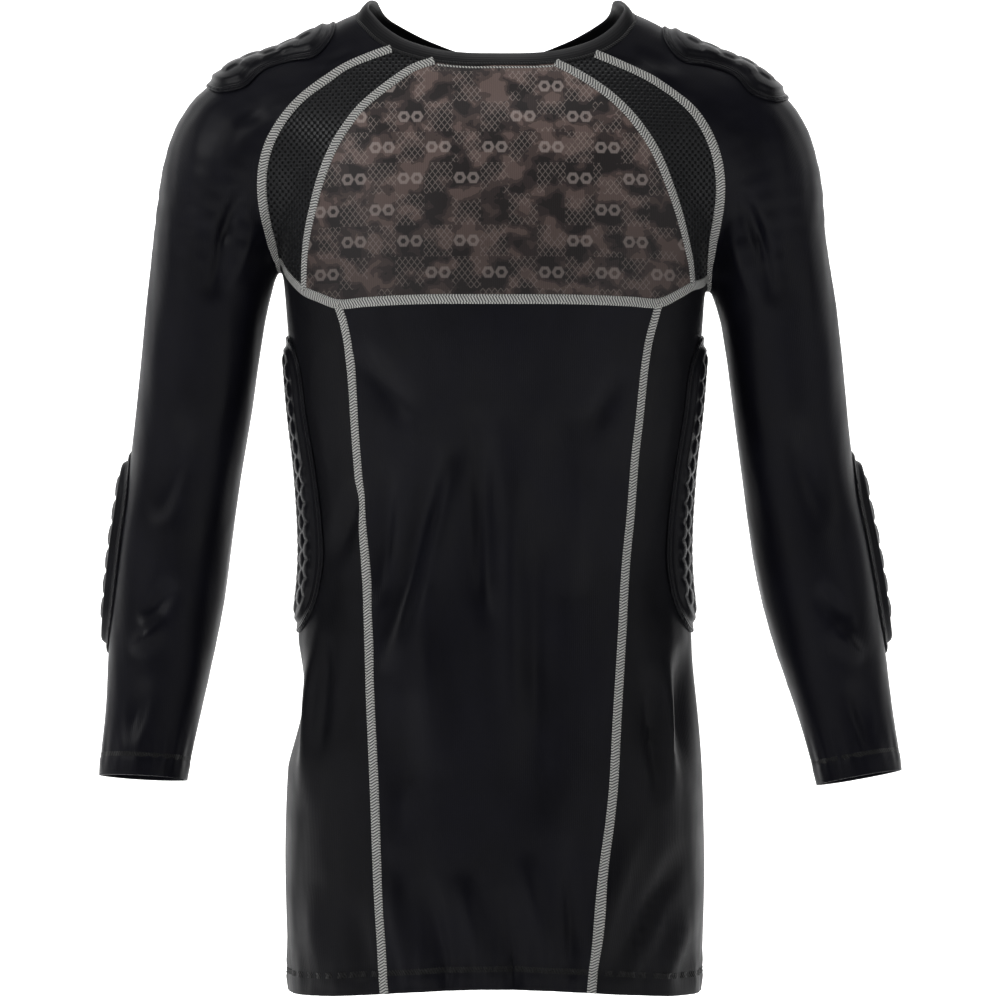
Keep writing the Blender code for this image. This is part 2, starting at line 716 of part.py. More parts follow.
def hem_round(low_front, low_back, columns):
    turn_front = math.atan2(-low_front[1], abs(low_front[0]))
    turn_back = math.atan2(-low_back[1], abs(low_back[0]))
    turns = np.linspace(turn_front, turn_back, columns)
    sign = math.copysign(1.0, low_front[0])
    ways = np.stack([sign * np.cos(turns), -np.sin(turns), np.zeros(columns)], axis=1)
    starts = np.tile([0.0, 0.0, HEM_SIDE * MM], (columns, 1))
    points = cast(starts, ways)
    points[:, 2] = hem_height(points)
    points = settle(points, level=True)
    points[0] = low_front
    points[-1] = low_back
    return points


def finish_panel(name, grid, finish, edges, hem=None, bend=0):
    if hem is not None:
        grid = hem_rows(grid, hem)
    ways = grid_outward(grid)
    depth = wall_depths(grid, slice(-2, None) if hem is not None else None)
    grid = draw_in(grid, ways, edges, bend)
    build_wall(name, grid, ways, depth, finish)


# Sleeves

def arm_ring(side, ring_heights, turns):
    # Points round the sleeve; a turn of 180 degrees is its inner side, 90 its front.
    heights, rows = sleeve_axes[side]
    sign = SIDES[side]
    marks = smooth_read(heights, rows, ring_heights)
    share = np.clip((ARM_TOP * MM - ring_heights) / ((ARM_TOP - CUFF_HEIGHT) * MM), 0.0, 1.0)
    tilt = np.radians(CUFF_TILT[side]) * share
    lean = np.radians(CUFF_LEAN) * share
    still = np.zeros(len(share))
    outer = np.stack([sign * np.cos(tilt), still, np.sin(tilt)], axis=1)
    front = np.stack([still, -np.cos(lean), np.sin(lean)], axis=1)
    turns = np.radians(turns)[:, None]
    ways = np.cos(turns) * outer + SLEEVE_DEPTH * np.sin(turns) * front
    return settle(marks[:, :3] + marks[:, 3:] * ways)


def make_sleeve(side, seams):
    # One piece from the neck to the cuff: open over the shoulder, a tube along the arm.
    sign = SIDES[side]
    heights, rows = sleeve_axes[side]
    arc = sign * np.linspace(RAGLAN_FRONT_ANGLE[side], RAGLAN_BACK_ANGLE, COLUMNS_SLEEVE + 1)
    under_front, under_back = seams["under_front"], seams["under_back"]
    girth = smooth_read(heights, rows, under_front[:1, 2])[0, 3]
    side_turn = math.degrees(math.asin(ARMPIT_FORE * MM / (girth * SLEEVE_DEPTH)))
    over = np.linspace(180.0 - side_turn, side_turn - 180.0, COLUMNS_SLEEVE + 1)
    under = np.linspace(180.0, 180.0 - side_turn, COLUMNS_UNDERARM + 1)[:-1]
    turns = np.concatenate([under, over, -under[::-1]])

    # The cap, down to a ring that hangs lowest on the arm's outer side.
    span = np.linspace(0.0, 1.0, COLUMNS_SLEEVE + 1)
    edge = under_front[-1, 2] + (under_back[-1, 2] - under_front[-1, 2]) * span
    ring = arm_ring(side, edge + (ARM_TOP * MM - edge) * np.sin(math.pi * span), over)
    ring[0] = under_front[-1]
    ring[-1] = under_back[-1]
    cap = patch(neck_points(arc), ring, seams["raglan_front"], seams["raglan_back"])

    # The tube, from that ring and the line under the arm to the cuff.
    first = np.vstack([under_front[:-1], ring, under_back[:-1][::-1]])
    tube = [first]
    for share in np.linspace(0.0, 1.0, ROWS_ARM + 1)[1:]:
        level = first[:, 2] + ((CUFF_HEIGHT + HEM_TURN) * MM - first[:, 2]) * share
        tube.append(arm_ring(side, level, turns))
    tube.append(arm_ring(side, np.full(len(turns), CUFF_HEIGHT * MM), turns))

    # One grid: above the line under the arm its first and last columns are left out.
    left_out = ((0, 0), (COLUMNS_UNDERARM, COLUMNS_UNDERARM), (0, 0))
    grid = np.concatenate([np.pad(cap[:-1], left_out, mode="edge"), np.array(tube)], axis=0)
    cap_rows = len(cap) - 1
    cells = np.ones((len(grid) - 1, len(turns) - 1), bool)
    cells[:cap_rows, :COLUMNS_UNDERARM] = False
    cells[:cap_rows, -COLUMNS_UNDERARM:] = False
    ways = grid_outward(grid)
    moved = grid.copy()
    neck = slice(COLUMNS_UNDERARM, -COLUMNS_UNDERARM)
    moved[0, neck] += edge_pull(grid[0, neck], grid[1, neck], ways[0, neck])
    seam = slice(0, cap_rows + 1)
    for column, inner in ((COLUMNS_UNDERARM, COLUMNS_UNDERARM + 1),
                          (-COLUMNS_UNDERARM - 1, -COLUMNS_UNDERARM - 2)):
        moved[seam, column] += edge_pull(grid[seam, column], grid[seam, inner], ways[seam, column])
    for under_arm in (slice(0, COLUMNS_UNDERARM + 1), slice(-COLUMNS_UNDERARM - 1, None)):
        moved[cap_rows, under_arm] += edge_pull(grid[cap_rows, under_arm], grid[cap_rows + 1, under_arm],
                                                ways[cap_rows, under_arm])
    moved[cap_rows, -1] = moved[cap_rows, 0]
    moved = ease_corners(grid, moved)
    joined = np.arange(len(grid)) >= cap_rows
    build_wall("sleeve_" + side, moved, ways, wall_depths(grid, slice(-2, None)), "jersey", cells, joined)


# Neckband

def make_neckband():
    arcs = [np.linspace(-NET_TOP_ANGLE["right"], NET_TOP_ANGLE["left"],
                        COLUMNS_FRONT + 2 * COLUMNS_CHEST_SIDE + 1),
            np.linspace(NET_TOP_ANGLE["left"], RAGLAN_FRONT_ANGLE["left"], COLUMNS_NET + 1),
            np.linspace(RAGLAN_FRONT_ANGLE["left"], RAGLAN_BACK_ANGLE, COLUMNS_SLEEVE + 1),
            np.linspace(RAGLAN_BACK_ANGLE, 360.0 - RAGLAN_BACK_ANGLE, COLUMNS_BACK + 1),
            np.linspace(360.0 - RAGLAN_BACK_ANGLE, 360.0 - RAGLAN_FRONT_ANGLE["right"], COLUMNS_SLEEVE + 1),
            np.linspace(360.0 - RAGLAN_FRONT_ANGLE["right"], 360.0 - NET_TOP_ANGLE["right"],
                        COLUMNS_NET + 1)]
    angles = np.concatenate([arc[:-1] for arc in arcs] + [arcs[-1][-1:]])
    angles = np.where(angles > 180.0, angles - 360.0, angles)
    foot = neck_points(angles)
    turn = np.radians(angles)
    out = np.stack([np.sin(turn), -np.cos(turn), np.zeros(len(turn))], axis=1)
    rise = math.radians(BAND_RISE)
    lean = -math.cos(rise) * out + np.array([0.0, 0.0, math.sin(rise)])
    square = math.sin(rise) * out + np.array([0.0, 0.0, math.cos(rise)])
    rises = (0.5 * SEAM_GAP, 0.5 * BAND_WIDTH, BAND_WIDTH)
    grid = np.array([foot + lean * (height * MM) + square * (swell * MM)
                     for height, swell in zip(rises, BAND_SWELL)])
    # Its foot is cut square to the panels below it, so that the two walls don't meet.
    foot_ways = grid_outward(foot[None])[0]
    middle_ways = foot_ways + square
    middle_ways /= np.linalg.norm(middle_ways, axis=1)[:, None]
    ways = np.stack([foot_ways, middle_ways, square])
    depth = np.full(grid.shape[:2], BAND_WALL * MM)
    build_wall("neckband", grid, ways, depth, "band", joined=np.ones(len(grid), bool))


# Pads

def pad_places_rib(side):
    sign = SIDES[side]

    def place(flat):
        heights = RIB_MIDDLE * MM + flat[:, 1]
        half, front, back = smooth_read(torso_heights, torso_sizes, heights).T
        depth = np.where(flat[:, 0] > 0.0, front, back)
        turn = flat[:, 0] / (RIB_WRAP * depth)
        still = np.zeros(len(flat))
        starts = np.stack([np.full(len(flat), sign * RIB_INSIDE * MM), still, heights], axis=1)
        out = sign * (half * np.cos(turn) - RIB_INSIDE * MM)
        ways = np.stack([out, -depth * np.sin(turn), still], axis=1)
        return cast(starts, ways, RIB_REACH * MM)
    return place


def pad_places_elbow(side):
    sign = SIDES[side]
    heights, rows = sleeve_axes[side]

    def place(flat):
        marks = smooth_read(heights, rows, ELBOW_MIDDLE * MM + flat[:, 1])
        turn = flat[:, 0] / marks[:, 3] - math.radians(ELBOW_TURN)
        ways = np.stack([sign * np.cos(turn), -np.sin(turn), np.zeros(len(flat))], axis=1)
        return cast(marks[:, :3], ways, ELBOW_REACH * MM)
    return place


def pad_places_shoulder(side):
    low, high = np.array(SHOULDER_AXIS[side], float) * MM
    run = (high - low) / np.linalg.norm(high - low)
    middle = 0.5 * (low + high)
    up = np.cross(run, [0.0, 1.0, 0.0])
    up *= math.copysign(1.0, up[2])

    def place(flat):
        starts = middle + flat[:, :1] * run
        turn = flat[:, 1] / (SHOULDER_RADIUS * MM) + math.radians(SHOULDER_TURN)
        ways = np.cos(turn)[:, None] * up + np.sin(turn)[:, None] * np.array([0.0, -1.0, 0.0])
        return cast(starts, ways, SHOULDER_REACH * MM)
    return place


def inside_outline(outline, point, margin):
    # Whether a point lies within a closed outline and at least a margin from it.
    crossings = 0
    nearest = 1e9
    for start, end in zip(outline, np.roll(outline, -1, axis=0)):
        if (start[1] > point[1]) != (end[1] > point[1]):
            at = start[0] + (point[1] - start[1]) / (end[1] - start[1]) * (end[0] - start[0])
            crossings += at > point[0]
        run = end - start
        along = np.clip((point - start) @ run / (run @ run), 0.0, 1.0)
        nearest = min(nearest, np.linalg.norm(point - start - along * run))
    return crossings % 2 == 1 and nearest > margin


def hexagon(centre, radius):
    turns = np.radians(np.arange(6) * 60.0)
    return centre + radius * np.stack([np.cos(turns), np.sin(turns)], axis=1)


def cell_centres(outline, pitch, margin):
    # Columns of hexagons, each second column half a cell lower.
    step = pitch * math.sqrt(3.0) / 2.0
    radius = pitch / math.sqrt(3.0)
    low, high = outline.min(axis=0), outline.max(axis=0)
    count_across = int((high[0] - low[0]) / step) + 2
    count_up = int((high[1] - low[1]) / pitch) + 2
    centres = []
    for column in range(-count_across, count_across + 1):
        for row in range(-count_up, count_up + 1):
            centre = np.array([column * step, row * pitch + (0.5 * pitch if column % 2 else 0.0)])
            if inside_outline(outline, centre, margin + CELL_MARGIN * radius):
                centres.append(centre)
    return centres


def closed_outline(points, spacing):
    points = np.asarray(points, float) * MM
    loop = np.vstack([points[-2:], points, points[:3]])
    reach = np.concatenate([[0.0], np.cumsum(np.linalg.norm(np.diff(loop, axis=0), axis=1))])
    count = int((reach[-3] - reach[2]) / spacing)
    wanted = np.linspace(reach[2], reach[-3], count, endpoint=False)
    return smooth_read(reach, loop, wanted)


def make_pad(name, outline_points, sizes, place):
    # A sewn rim lies on the cloth, and the foam cells rise from it.
    pitch = sizes["pitch"] * MM
    outline = closed_outline(outline_points, RIM_SPACING * pitch)
    centres = cell_centres(outline, pitch, sizes["flange"] * MM)
    radius = pitch / math.sqrt(3.0)
    flat = [tuple(point) for point in outline]
    lifts = [PAD_RIM] * len(outline)
    loops = [list(range(len(outline)))]
    known = {}
    for centre in centres:
        loop = []
        for corner in hexagon(centre, radius):
            key = (round(corner[0] / MM, 2), round(corner[1] / MM, 2))
            if key not in known:
                known[key] = len(flat)
                flat.append(tuple(corner))
                lifts.append(CELL_GROOVE)
            loop.append(known[key])
        loops.append(loop)
        first = len(flat)
        flat.extend(tuple(corner) for corner in hexagon(centre, radius * (1.0 - CELL_SLOPE)))
        lifts.extend([sizes["height"]] * 6)
        loops.append(list(range(first, first + 6)))
    edges = [(loop[index], loop[(index + 1) % len(loop)]) for loop in loops for index in range(len(loop))]
    top = delaunay_2d_cdt([Vector(point) for point in flat], edges, [loops[0]], 1, 1e-7, True)
    under_flat = [tuple(point) for point in outline] + [tuple(centre) for centre in centres]
    if sizes["under"] == "corners":
        under_flat += [flat[index] for index in sorted(known.values())]
    ring = [(index, (index + 1) % len(outline)) for index in range(len(outline))]
    under = delaunay_2d_cdt([Vector(point) for point in under_flat], ring, [loops[0]], 1, 1e-7, True)

    builder = bmesh.new()
    lists = []
    for result, heights in ((top, lifts), (under, [0.0] * len(under_flat))):
        spots = np.array([tuple(point) for point in result[0]])
        origins = [sources[0] for sources in result[3]]
        points = place(spots)
        ways = outward(points)
        ways /= np.linalg.norm(ways, axis=1)[:, None]
        lift = np.array([heights[origin] for origin in origins]) + sizes["rest"]
        verts = [builder.verts.new(point) for point in points + ways * (lift * MM)[:, None]]
        for face in result[2]:
            if inside_outline(outline, spots[list(face)].mean(axis=0), 0.0):
                builder.faces.new([verts[index] for index in face])
        lists.append({origin: vert for origin, vert in zip(origins, verts)})
    upper, lower = lists
    for index, following in ring:
        builder.faces.new((upper[index], upper[following], lower[following], lower[index]))
    bmesh.ops.recalc_face_normals(builder, faces=builder.faces)
    return add_object(name, builder, "pad")


# The shirt

for old in list(bpy.data.objects):
    bpy.data.objects.remove(old)
shirt = bpy.data.collections.new("padded_compression_shirt")
bpy.context.scene.collection.children.link(shirt)

body_seams = {side: make_seams(side) for side in ("right", "left")}
make_body_panels(body_seams)
for wearer_side in ("right", "left"):
    make_side_panels(wearer_side, body_seams[wearer_side])
    make_sleeve(wearer_side, body_seams[wearer_side])
    make_pad("rib_pad_" + wearer_side, RIB_OUTLINE, RIB_PAD, pad_places_rib(wearer_side))
    make_pad("elbow_pad_" + wearer_side, ELBOW_OUTLINE, ELBOW_PAD, pad_places_elbow(wearer_side))
    shoulder_place = pad_places_shoulder(wearer_side)
    make_pad("shoulder_pad_" + wearer_side, SHOULDER_OUTLINE, SHOULDER_PAD, shoulder_place)
make_neckband()
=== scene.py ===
import math

import bpy
import numpy as np
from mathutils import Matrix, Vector
from mathutils.geometry import delaunay_2d_cdt


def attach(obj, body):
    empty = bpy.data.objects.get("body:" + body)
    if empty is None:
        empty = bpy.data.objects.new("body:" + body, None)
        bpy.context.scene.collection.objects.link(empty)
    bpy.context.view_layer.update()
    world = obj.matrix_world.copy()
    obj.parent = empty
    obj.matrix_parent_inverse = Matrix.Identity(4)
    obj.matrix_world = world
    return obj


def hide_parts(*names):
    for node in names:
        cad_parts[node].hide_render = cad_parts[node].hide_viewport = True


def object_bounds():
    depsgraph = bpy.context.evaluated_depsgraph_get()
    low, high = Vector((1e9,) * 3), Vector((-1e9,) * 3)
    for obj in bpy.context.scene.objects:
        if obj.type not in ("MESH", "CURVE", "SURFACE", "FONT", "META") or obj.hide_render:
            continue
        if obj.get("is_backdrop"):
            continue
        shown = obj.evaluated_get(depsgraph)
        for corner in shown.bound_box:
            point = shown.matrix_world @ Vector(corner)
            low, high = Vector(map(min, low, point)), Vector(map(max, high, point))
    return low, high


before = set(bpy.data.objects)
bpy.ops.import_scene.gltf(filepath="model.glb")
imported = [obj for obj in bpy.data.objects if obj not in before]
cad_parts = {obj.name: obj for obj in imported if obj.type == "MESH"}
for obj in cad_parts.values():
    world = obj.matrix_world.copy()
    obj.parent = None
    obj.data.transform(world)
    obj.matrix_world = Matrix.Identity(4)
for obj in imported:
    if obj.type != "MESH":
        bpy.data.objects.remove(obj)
cadBox = [list(corner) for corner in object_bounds()]
print("frame loaded, box", cadBox)

mm = 0.001
sides = {"right": -1.0, "left": 1.0}  # the wearer's right is on -X
castForm = {"step": 7.0, "from": 0.2, "normalReach": 2.0}

# The filled-out form, in mm: a torso by heights, two sleeve tubes, a soft join between them
torsoForm = {
    "power": 2.15,
    # height, half width, depth to the front, depth to the back
    "sections": [
        (60, 66, 46, 58), (30, 69, 49, 61), (18, 77, 52, 65), (10, 88, 52, 67), (4, 104, 53, 69),
        (-4, 121, 55, 72), (-16, 141, 59, 77), (-27, 156, 63, 82), (-37, 167, 67, 88),
        (-48, 177, 73, 93), (-63, 184, 80, 98), (-85, 184, 91, 103), (-115, 176, 101, 108),
        (-150, 166, 109, 111), (-190, 159, 114, 111), (-235, 155, 113, 107),
        (-290, 150.5, 108, 100), (-345, 144.5, 103, 96), (-405, 142, 101, 97),
        (-460, 147, 103, 102), (-515, 152, 106, 109), (-570, 155.5, 108, 114),
        (-625, 157, 109, 115), (-680, 156, 109.5, 114), (-750, 153, 109, 112),
    ],
}
sleeveForm = {
    "depth": 1.07,
    "top": -222.0,
    "cuff": -567.0,
    "cuffTilt": {"right": 3.0, "left": 10.0},
    "cuffLean": 7.0,
    # height, across, fore, half width
    "right": [
        (-82, -173, 8, 51), (-96, -184, 8, 56), (-112, -192, 7, 56), (-135, -200, 6, 53),
        (-165, -207.5, 5, 49), (-195, -213, 5, 46.3), (-220, -217, 5, 45), (-285, -225, 6, 43.5),
        (-335, -232, 8, 42), (-395, -241, 9, 42.5), (-430, -245, 7, 42), (-465, -249.5, 3, 40),
        (-510, -255, -5, 36), (-555, -261, -14, 33.2), (-600, -266, -23, 31),
    ],
    "left": [
        (-83, 169, 8, 50.5), (-98, 181, 8, 55), (-112, 187.5, 7, 54.5), (-135, 194.5, 6, 52),
        (-165, 200, 5, 48.3), (-195, 207.3, 5, 45.5), (-220, 213, 5, 44), (-285, 221, 6, 42.5),
        (-335, 227, 8, 42), (-395, 237.5, 9, 44), (-430, 244, 7, 43.5), (-465, 251, 3, 41),
        (-510, 260.5, -5, 36), (-555, 269.5, -14, 32.5), (-600, 277.5, -23, 30.5),
    ],
}
joinForm = {"shoulder": 34.0, "armpit": 9.0, "top": -105.0, "low": -190.0}

# Creases: side it shows on, from (across, height) to (across, height), half width, lift; minus is a trough
creaseForm = {"armFrom": 170.0, "armMiddle": 5.0, "fade": 24.0, "ends": 1.3}
creases = [
    # front panel: long slanting pulls from under the chest, a broad pale fold beside the middle
    ("front", -40, -318, -84, -488, 9.8, -10.3), ("front", -26, -322, -58, -470, 9.8, 5.9),
    ("front", -76, -330, -86, -440, 7.4, -7.4), ("front", -98, -345, -120, -410, 6.6, -5.9),
    ("front", -10, -292, -8, -452, 8.2, -7.8), ("front", 10, -300, 14, -560, 10.7, 5.4),
    ("front", 34, -330, 32, -600, 12.3, -6.4), ("front", -52, -420, -46, -560, 11.5, 5.4),
    ("front", 60, -300, 58, -430, 11.5, 4.5), ("front", -104, -250, -58, -304, 9.8, -5.4),
    ("front", 92, -262, 66, -318, 8.2, -3.9), ("front", -62, -500, -70, -610, 11.5, -4.9),
    # below the rib pads
    ("front", -150, -462, -150, -560, 7.4, -8.8), ("front", -136, -470, -140, -590, 6.6, 5.9),
    ("front", -124, -455, -130, -550, 5.7, -5.9), ("front", 139, -462, 140, -565, 7.4, -8.8),
    ("front", 126, -470, 128, -590, 6.6, 5.9), ("front", 112, -480, 122, -585, 6.6, -6.4),
    # hem: folds that fan up from the stitch line
    ("front", 66, -712, 104, -592, 7.4, 5.7), ("front", 60, -712, 52, -604, 6.6, -5.7),
    ("front", 84, -712, 140, -612, 7.4, -5.7), ("front", 44, -714, 20, -616, 7.4, 5.3),
    ("front", 96, -712, 128, -640, 6.6, 4.8), ("front", -4, -716, -26, -630, 7.4, 5.3),
    ("front", 16, -716, 6, -640, 6.6, -5.3), ("front", -34, -714, -50, -632, 7.4, -5.3),
    ("front", -64, -712, -76, -628, 7.4, 5.3), ("front", -92, -716, -104, -650, 7.4, -4.4),
    ("front", -128, -720, -134, -640, 8.2, 4.0), ("front", 120, -716, 146, -662, 7.4, 4.8),
    # back: quiet folds of the same kinds
    ("back", -62, -330, -34, -470, 10.7, -8.4), ("back", 58, -340, 30, -480, 10.7, -8.4),
    ("back", 0, -300, 4, -420, 12.3, 5.9), ("back", -92, -300, -70, -400, 9, -5.9),
    ("back", 90, -310, 66, -400, 9, -5.9), ("back", -20, -470, -26, -600, 10.7, 4.9),
    ("back", 24, -480, 30, -610, 10.7, -5.4), ("back", -48, -600, -58, -712, 9, 6.4),
    ("back", 52, -600, 64, -712, 9, 6.4), ("back", -90, -716, -112, -620, 7.4, -5.3),
    ("back", 4, -716, -6, -620, 7.4, -5.3), ("back", 92, -716, 116, -626, 7.4, -4.8),
    ("back", -150, -462, -150, -560, 7.4, -7.8), ("back", 142, -462, 142, -560, 7.4, -7.8),
    ("back", -40, -60, -70, -190, 11.5, -3.9), ("back", 42, -60, 72, -190, 11.5, -3.9),
    # shoulders: short creases between neckband, seam and pad
    ("front", -100, -24, -132, -42, 4.5, -1.1), ("front", -104, -34, -136, -54, 4.5, 0.9),
    ("front", -112, -46, -146, -66, 4.5, -1.1), ("front", 104, -26, 136, -44, 4.5, -1.1),
    ("front", 108, -36, 140, -56, 4.5, 0.9), ("front", 116, -48, 150, -68, 4.5, -1.1),
    ("front", -168, -72, -194, -84, 5.0, -1.2), ("front", 172, -74, 198, -86, 5.0, -1.2),
    # under the arms and along the sleeves
    ("front", -186, -128, -206, -178, 5.7, -5.9), ("front", -176, -150, -196, -205, 5.7, 4.3),
    ("front", -196, -150, -210, -215, 5.7, -4.3), ("front", 182, -132, 200, -182, 5.7, -5.9),
    ("front", 174, -156, 190, -212, 5.7, 4.3), ("front", 192, -150, 206, -218, 5.7, -4.3),
    ("front", -226, -300, -250, -380, 9.8, -4.9), ("front", 222, -300, 246, -384, 9.8, -4.9),
    ("front", -236, -420, -262, -452, 7.4, -5.4), ("front", 238, -424, 266, -456, 7.4, -5.4),
    ("front", -244, -448, -270, -474, 6.6, 4.5), ("front", 246, -452, 274, -480, 6.6, 4.5),
    ("front", -258, -490, -272, -540, 7.4, -4.5), ("front", 262, -492, 282, -545, 7.4, -4.5),
    ("back", -190, -140, -212, -196, 6.6, -5.1), ("back", 186, -140, 208, -196, 6.6, -5.1),
    ("back", -236, -400, -262, -440, 8.2, -5.4), ("back", 236, -400, 264, -442, 8.2, -5.4),
    ("back", -228, -290, -246, -360, 9.8, 4.5), ("back", 226, -290, 244, -360, 9.8, 4.5),
]


def readCurve(knots, values, wanted):
    # a curve with no corner through the knots
    knots = np.asarray(knots, float)
    values = np.asarray(values, float)
    shape = (-1,) + (1,) * (values.ndim - 1)
    rates = np.diff(values, axis=0) / np.diff(knots).reshape(shape)
    slopes = np.concatenate([rates[:1], 0.5 * (rates[:-1] + rates[1:]), rates[-1:]])
    wanted = np.clip(wanted, knots[0], knots[-1])
    place = np.clip(np.searchsorted(knots, wanted) - 1, 0, len(knots) - 2)
    step = (knots[place + 1] - knots[place])
    t = ((wanted - knots[place]) / step).reshape(shape)
    step = step.reshape(shape)
    return (values[place] * (2 * t ** 3 - 3 * t ** 2 + 1) + values[place + 1] * (3 * t ** 2 - 2 * t ** 3)
            + slopes[place] * step * (t ** 3 - 2 * t ** 2 + t) + slopes[place + 1] * step * (t ** 3 - t ** 2))


def runLength(points):
    return np.concatenate([[0.0], np.cumsum(np.linalg.norm(np.diff(points, axis=0), axis=1))])


def spreadPoints(points, count, grade=1.0):
    # count + 1 places on a smooth curve through the points
    points = np.asarray(points, float)
    reach = runLength(points)
    fine = readCurve(reach, points, np.linspace(0.0, reach[-1], 40 * len(points)))
    walked = runLength(fine)
    wanted = walked[-1] * np.linspace(0.0, 1.0, count + 1) ** grade
    return np.stack([np.interp(wanted, walked, fine[:, axis]) for axis in range(points.shape[1])], axis=1)


torsoRows = np.array(sorted(torsoForm["sections"]), float) * mm
sleeveRows = {}
for side in sides:
    rows = np.array(sorted(sleeveForm[side]), float) * mm
    sleeveRows[side] = (rows[:, 0], rows[:, (1, 2, 0, 3)])


def torsoField(points):
    across, fore = np.abs(points[:, 0]) + 1e-6, points[:, 1]
    half, front, back = readCurve(torsoRows[:, 0], torsoRows[:, 1:], points[:, 2]).T
    depth = np.where(fore < 0.0, front, back)
    power = torsoForm["power"]
    ratio = ((across / half) ** power + (np.abs(fore) / depth) ** power) ** (1.0 / power)
    return np.hypot(across, fore) * (1.0 - 1.0 / ratio)


def sleeveField(points, side):
    heights, rows = sleeveRows[side]
    marks = readCurve(heights, rows, np.sort(np.append(heights, 0.5 * (heights[:-1] + heights[1:]))))
    squash = np.array([1.0, sleeveForm["depth"], 1.0])
    flat, centres = points / squash, marks[:, :3] / squash
    nearest = np.full(len(points), 1e9)
    for low, high, thin, thick in zip(centres[:-1], centres[1:], marks[:-1, 3], marks[1:, 3]):
        run = high - low
        along = np.clip((flat - low) @ run / (run @ run), 0.0, 1.0)
        away = np.linalg.norm(flat - low - along[:, None] * run, axis=1)
        nearest = np.minimum(nearest, away - (thin + along * (thick - thin)))
    return nearest


def bodyField(points):
    # below zero inside the shirt, zero on its outer face
    fall = np.clip((points[:, 2] / mm - joinForm["low"]) / (joinForm["top"] - joinForm["low"]), 0.0, 1.0)
    fall = fall * fall * (3.0 - 2.0 * fall)
    soft = (joinForm["armpit"] + (joinForm["shoulder"] - joinForm["armpit"]) * fall) * mm
    joined = torsoField(points)
    for side, sign in sides.items():
        near = points[:, 0] * sign >= 0.0
        arm, body = sleeveField(points[near], side), joined[near]
        share = np.clip(0.5 + 0.5 * (arm - body) / soft[near], 0.0, 1.0)
        joined[near] = arm + (body - arm) * share - soft[near] * share * (1.0 - share)
    return joined


def outwardWay(points, reach=0.4 * mm):
    slope = np.empty_like(points)
    for axis in range(3):
        shift = np.zeros(3)
        shift[axis] = reach
        slope[:, axis] = (bodyField(points + shift) - bodyField(points - shift)) / (2.0 * reach)
    return slope


def unit(vectors):
    return vectors / np.linalg.norm(vectors, axis=-1, keepdims=True)


def settle(points, level=False, rounds=6):
    points = points.copy()
    for _ in range(rounds):
        slope = outwardWay(points)
        if level:
            slope[:, 2] = 0.0
        points -= slope * (bodyField(points) / np.maximum((slope ** 2).sum(axis=1), 0.05))[:, None]
    return points


def castTo(starts, ways, reach=0.35):
    # the first place along each line where the cloth is met
    starts = np.asarray(starts, float)
    ways = unit(np.asarray(ways, float))
    before = bodyField(starts)
    near, far = np.zeros(len(starts)), np.full(len(starts), reach)
    found = np.zeros(len(starts), bool)
    marks = np.linspace(0.0, reach, int(reach / (castForm["step"] * mm)) + 1)
    for last, mark in zip(marks[:-1], marks[1:]):
        crossed = ~found & (bodyField(starts + ways * mark) * before <= 0.0)
        far[crossed], near[crossed] = mark, last
        found |= crossed
    for _ in range(16):
        middle = 0.5 * (near + far)
        beyond = bodyField(starts + ways * middle[:, None]) * before <= 0.0
        far, near = np.where(beyond, middle, far), np.where(beyond, near, middle)
    return starts + ways * (0.5 * (near + far))[:, None]


def seenFrom(view, flat):
    flat = np.asarray(flat, float) * mm
    fore = -castForm["from"] if view == "front" else castForm["from"]
    starts = np.stack([flat[:, 0], np.full(len(flat), fore), flat[:, 1]], axis=1)
    return castTo(starts, np.tile([0.0, -math.copysign(1.0, fore), 0.0], (len(flat), 1)))


def creaseLift(points):
    # how far the creases move the cloth out or in
    lift = np.zeros(len(points))
    onArm = np.abs(points[:, 0]) > creaseForm["armFrom"] * mm
    middle = np.where(onArm, creaseForm["armMiddle"] * mm, 0.0)
    facing = np.clip((middle - points[:, 1]) / (creaseForm["fade"] * mm) + 0.5, 0.0, 1.0)
    facing = facing * facing * (3.0 - 2.0 * facing)
    for view, x0, z0, x1, z1, width, height in creases:
        weight = facing if view == "front" else 1.0 - facing
        start, run = np.array([x0, z0]) * mm, np.array([x1 - x0, z1 - z0]) * mm
        flat = points[:, (0, 2)] - start
        along = flat @ run / (run @ run)
        off = (flat @ np.array([-run[1], run[0]])) / np.linalg.norm(run) / (width * mm)
        ends = (4.0 * np.clip(along, 0.0, 1.0) * np.clip(1.0 - along, 0.0, 1.0)) ** creaseForm["ends"]
        lift += weight * height * mm * ends * np.exp(-off ** 2)
    return lift


def clothFace(points):
    # points near the form, brought onto the creased cloth, and the way out of it there
    points = settle(points)
    ways = unit(outwardWay(points, castForm["normalReach"] * mm))
    return points + ways * creaseLift(points)[:, None], ways


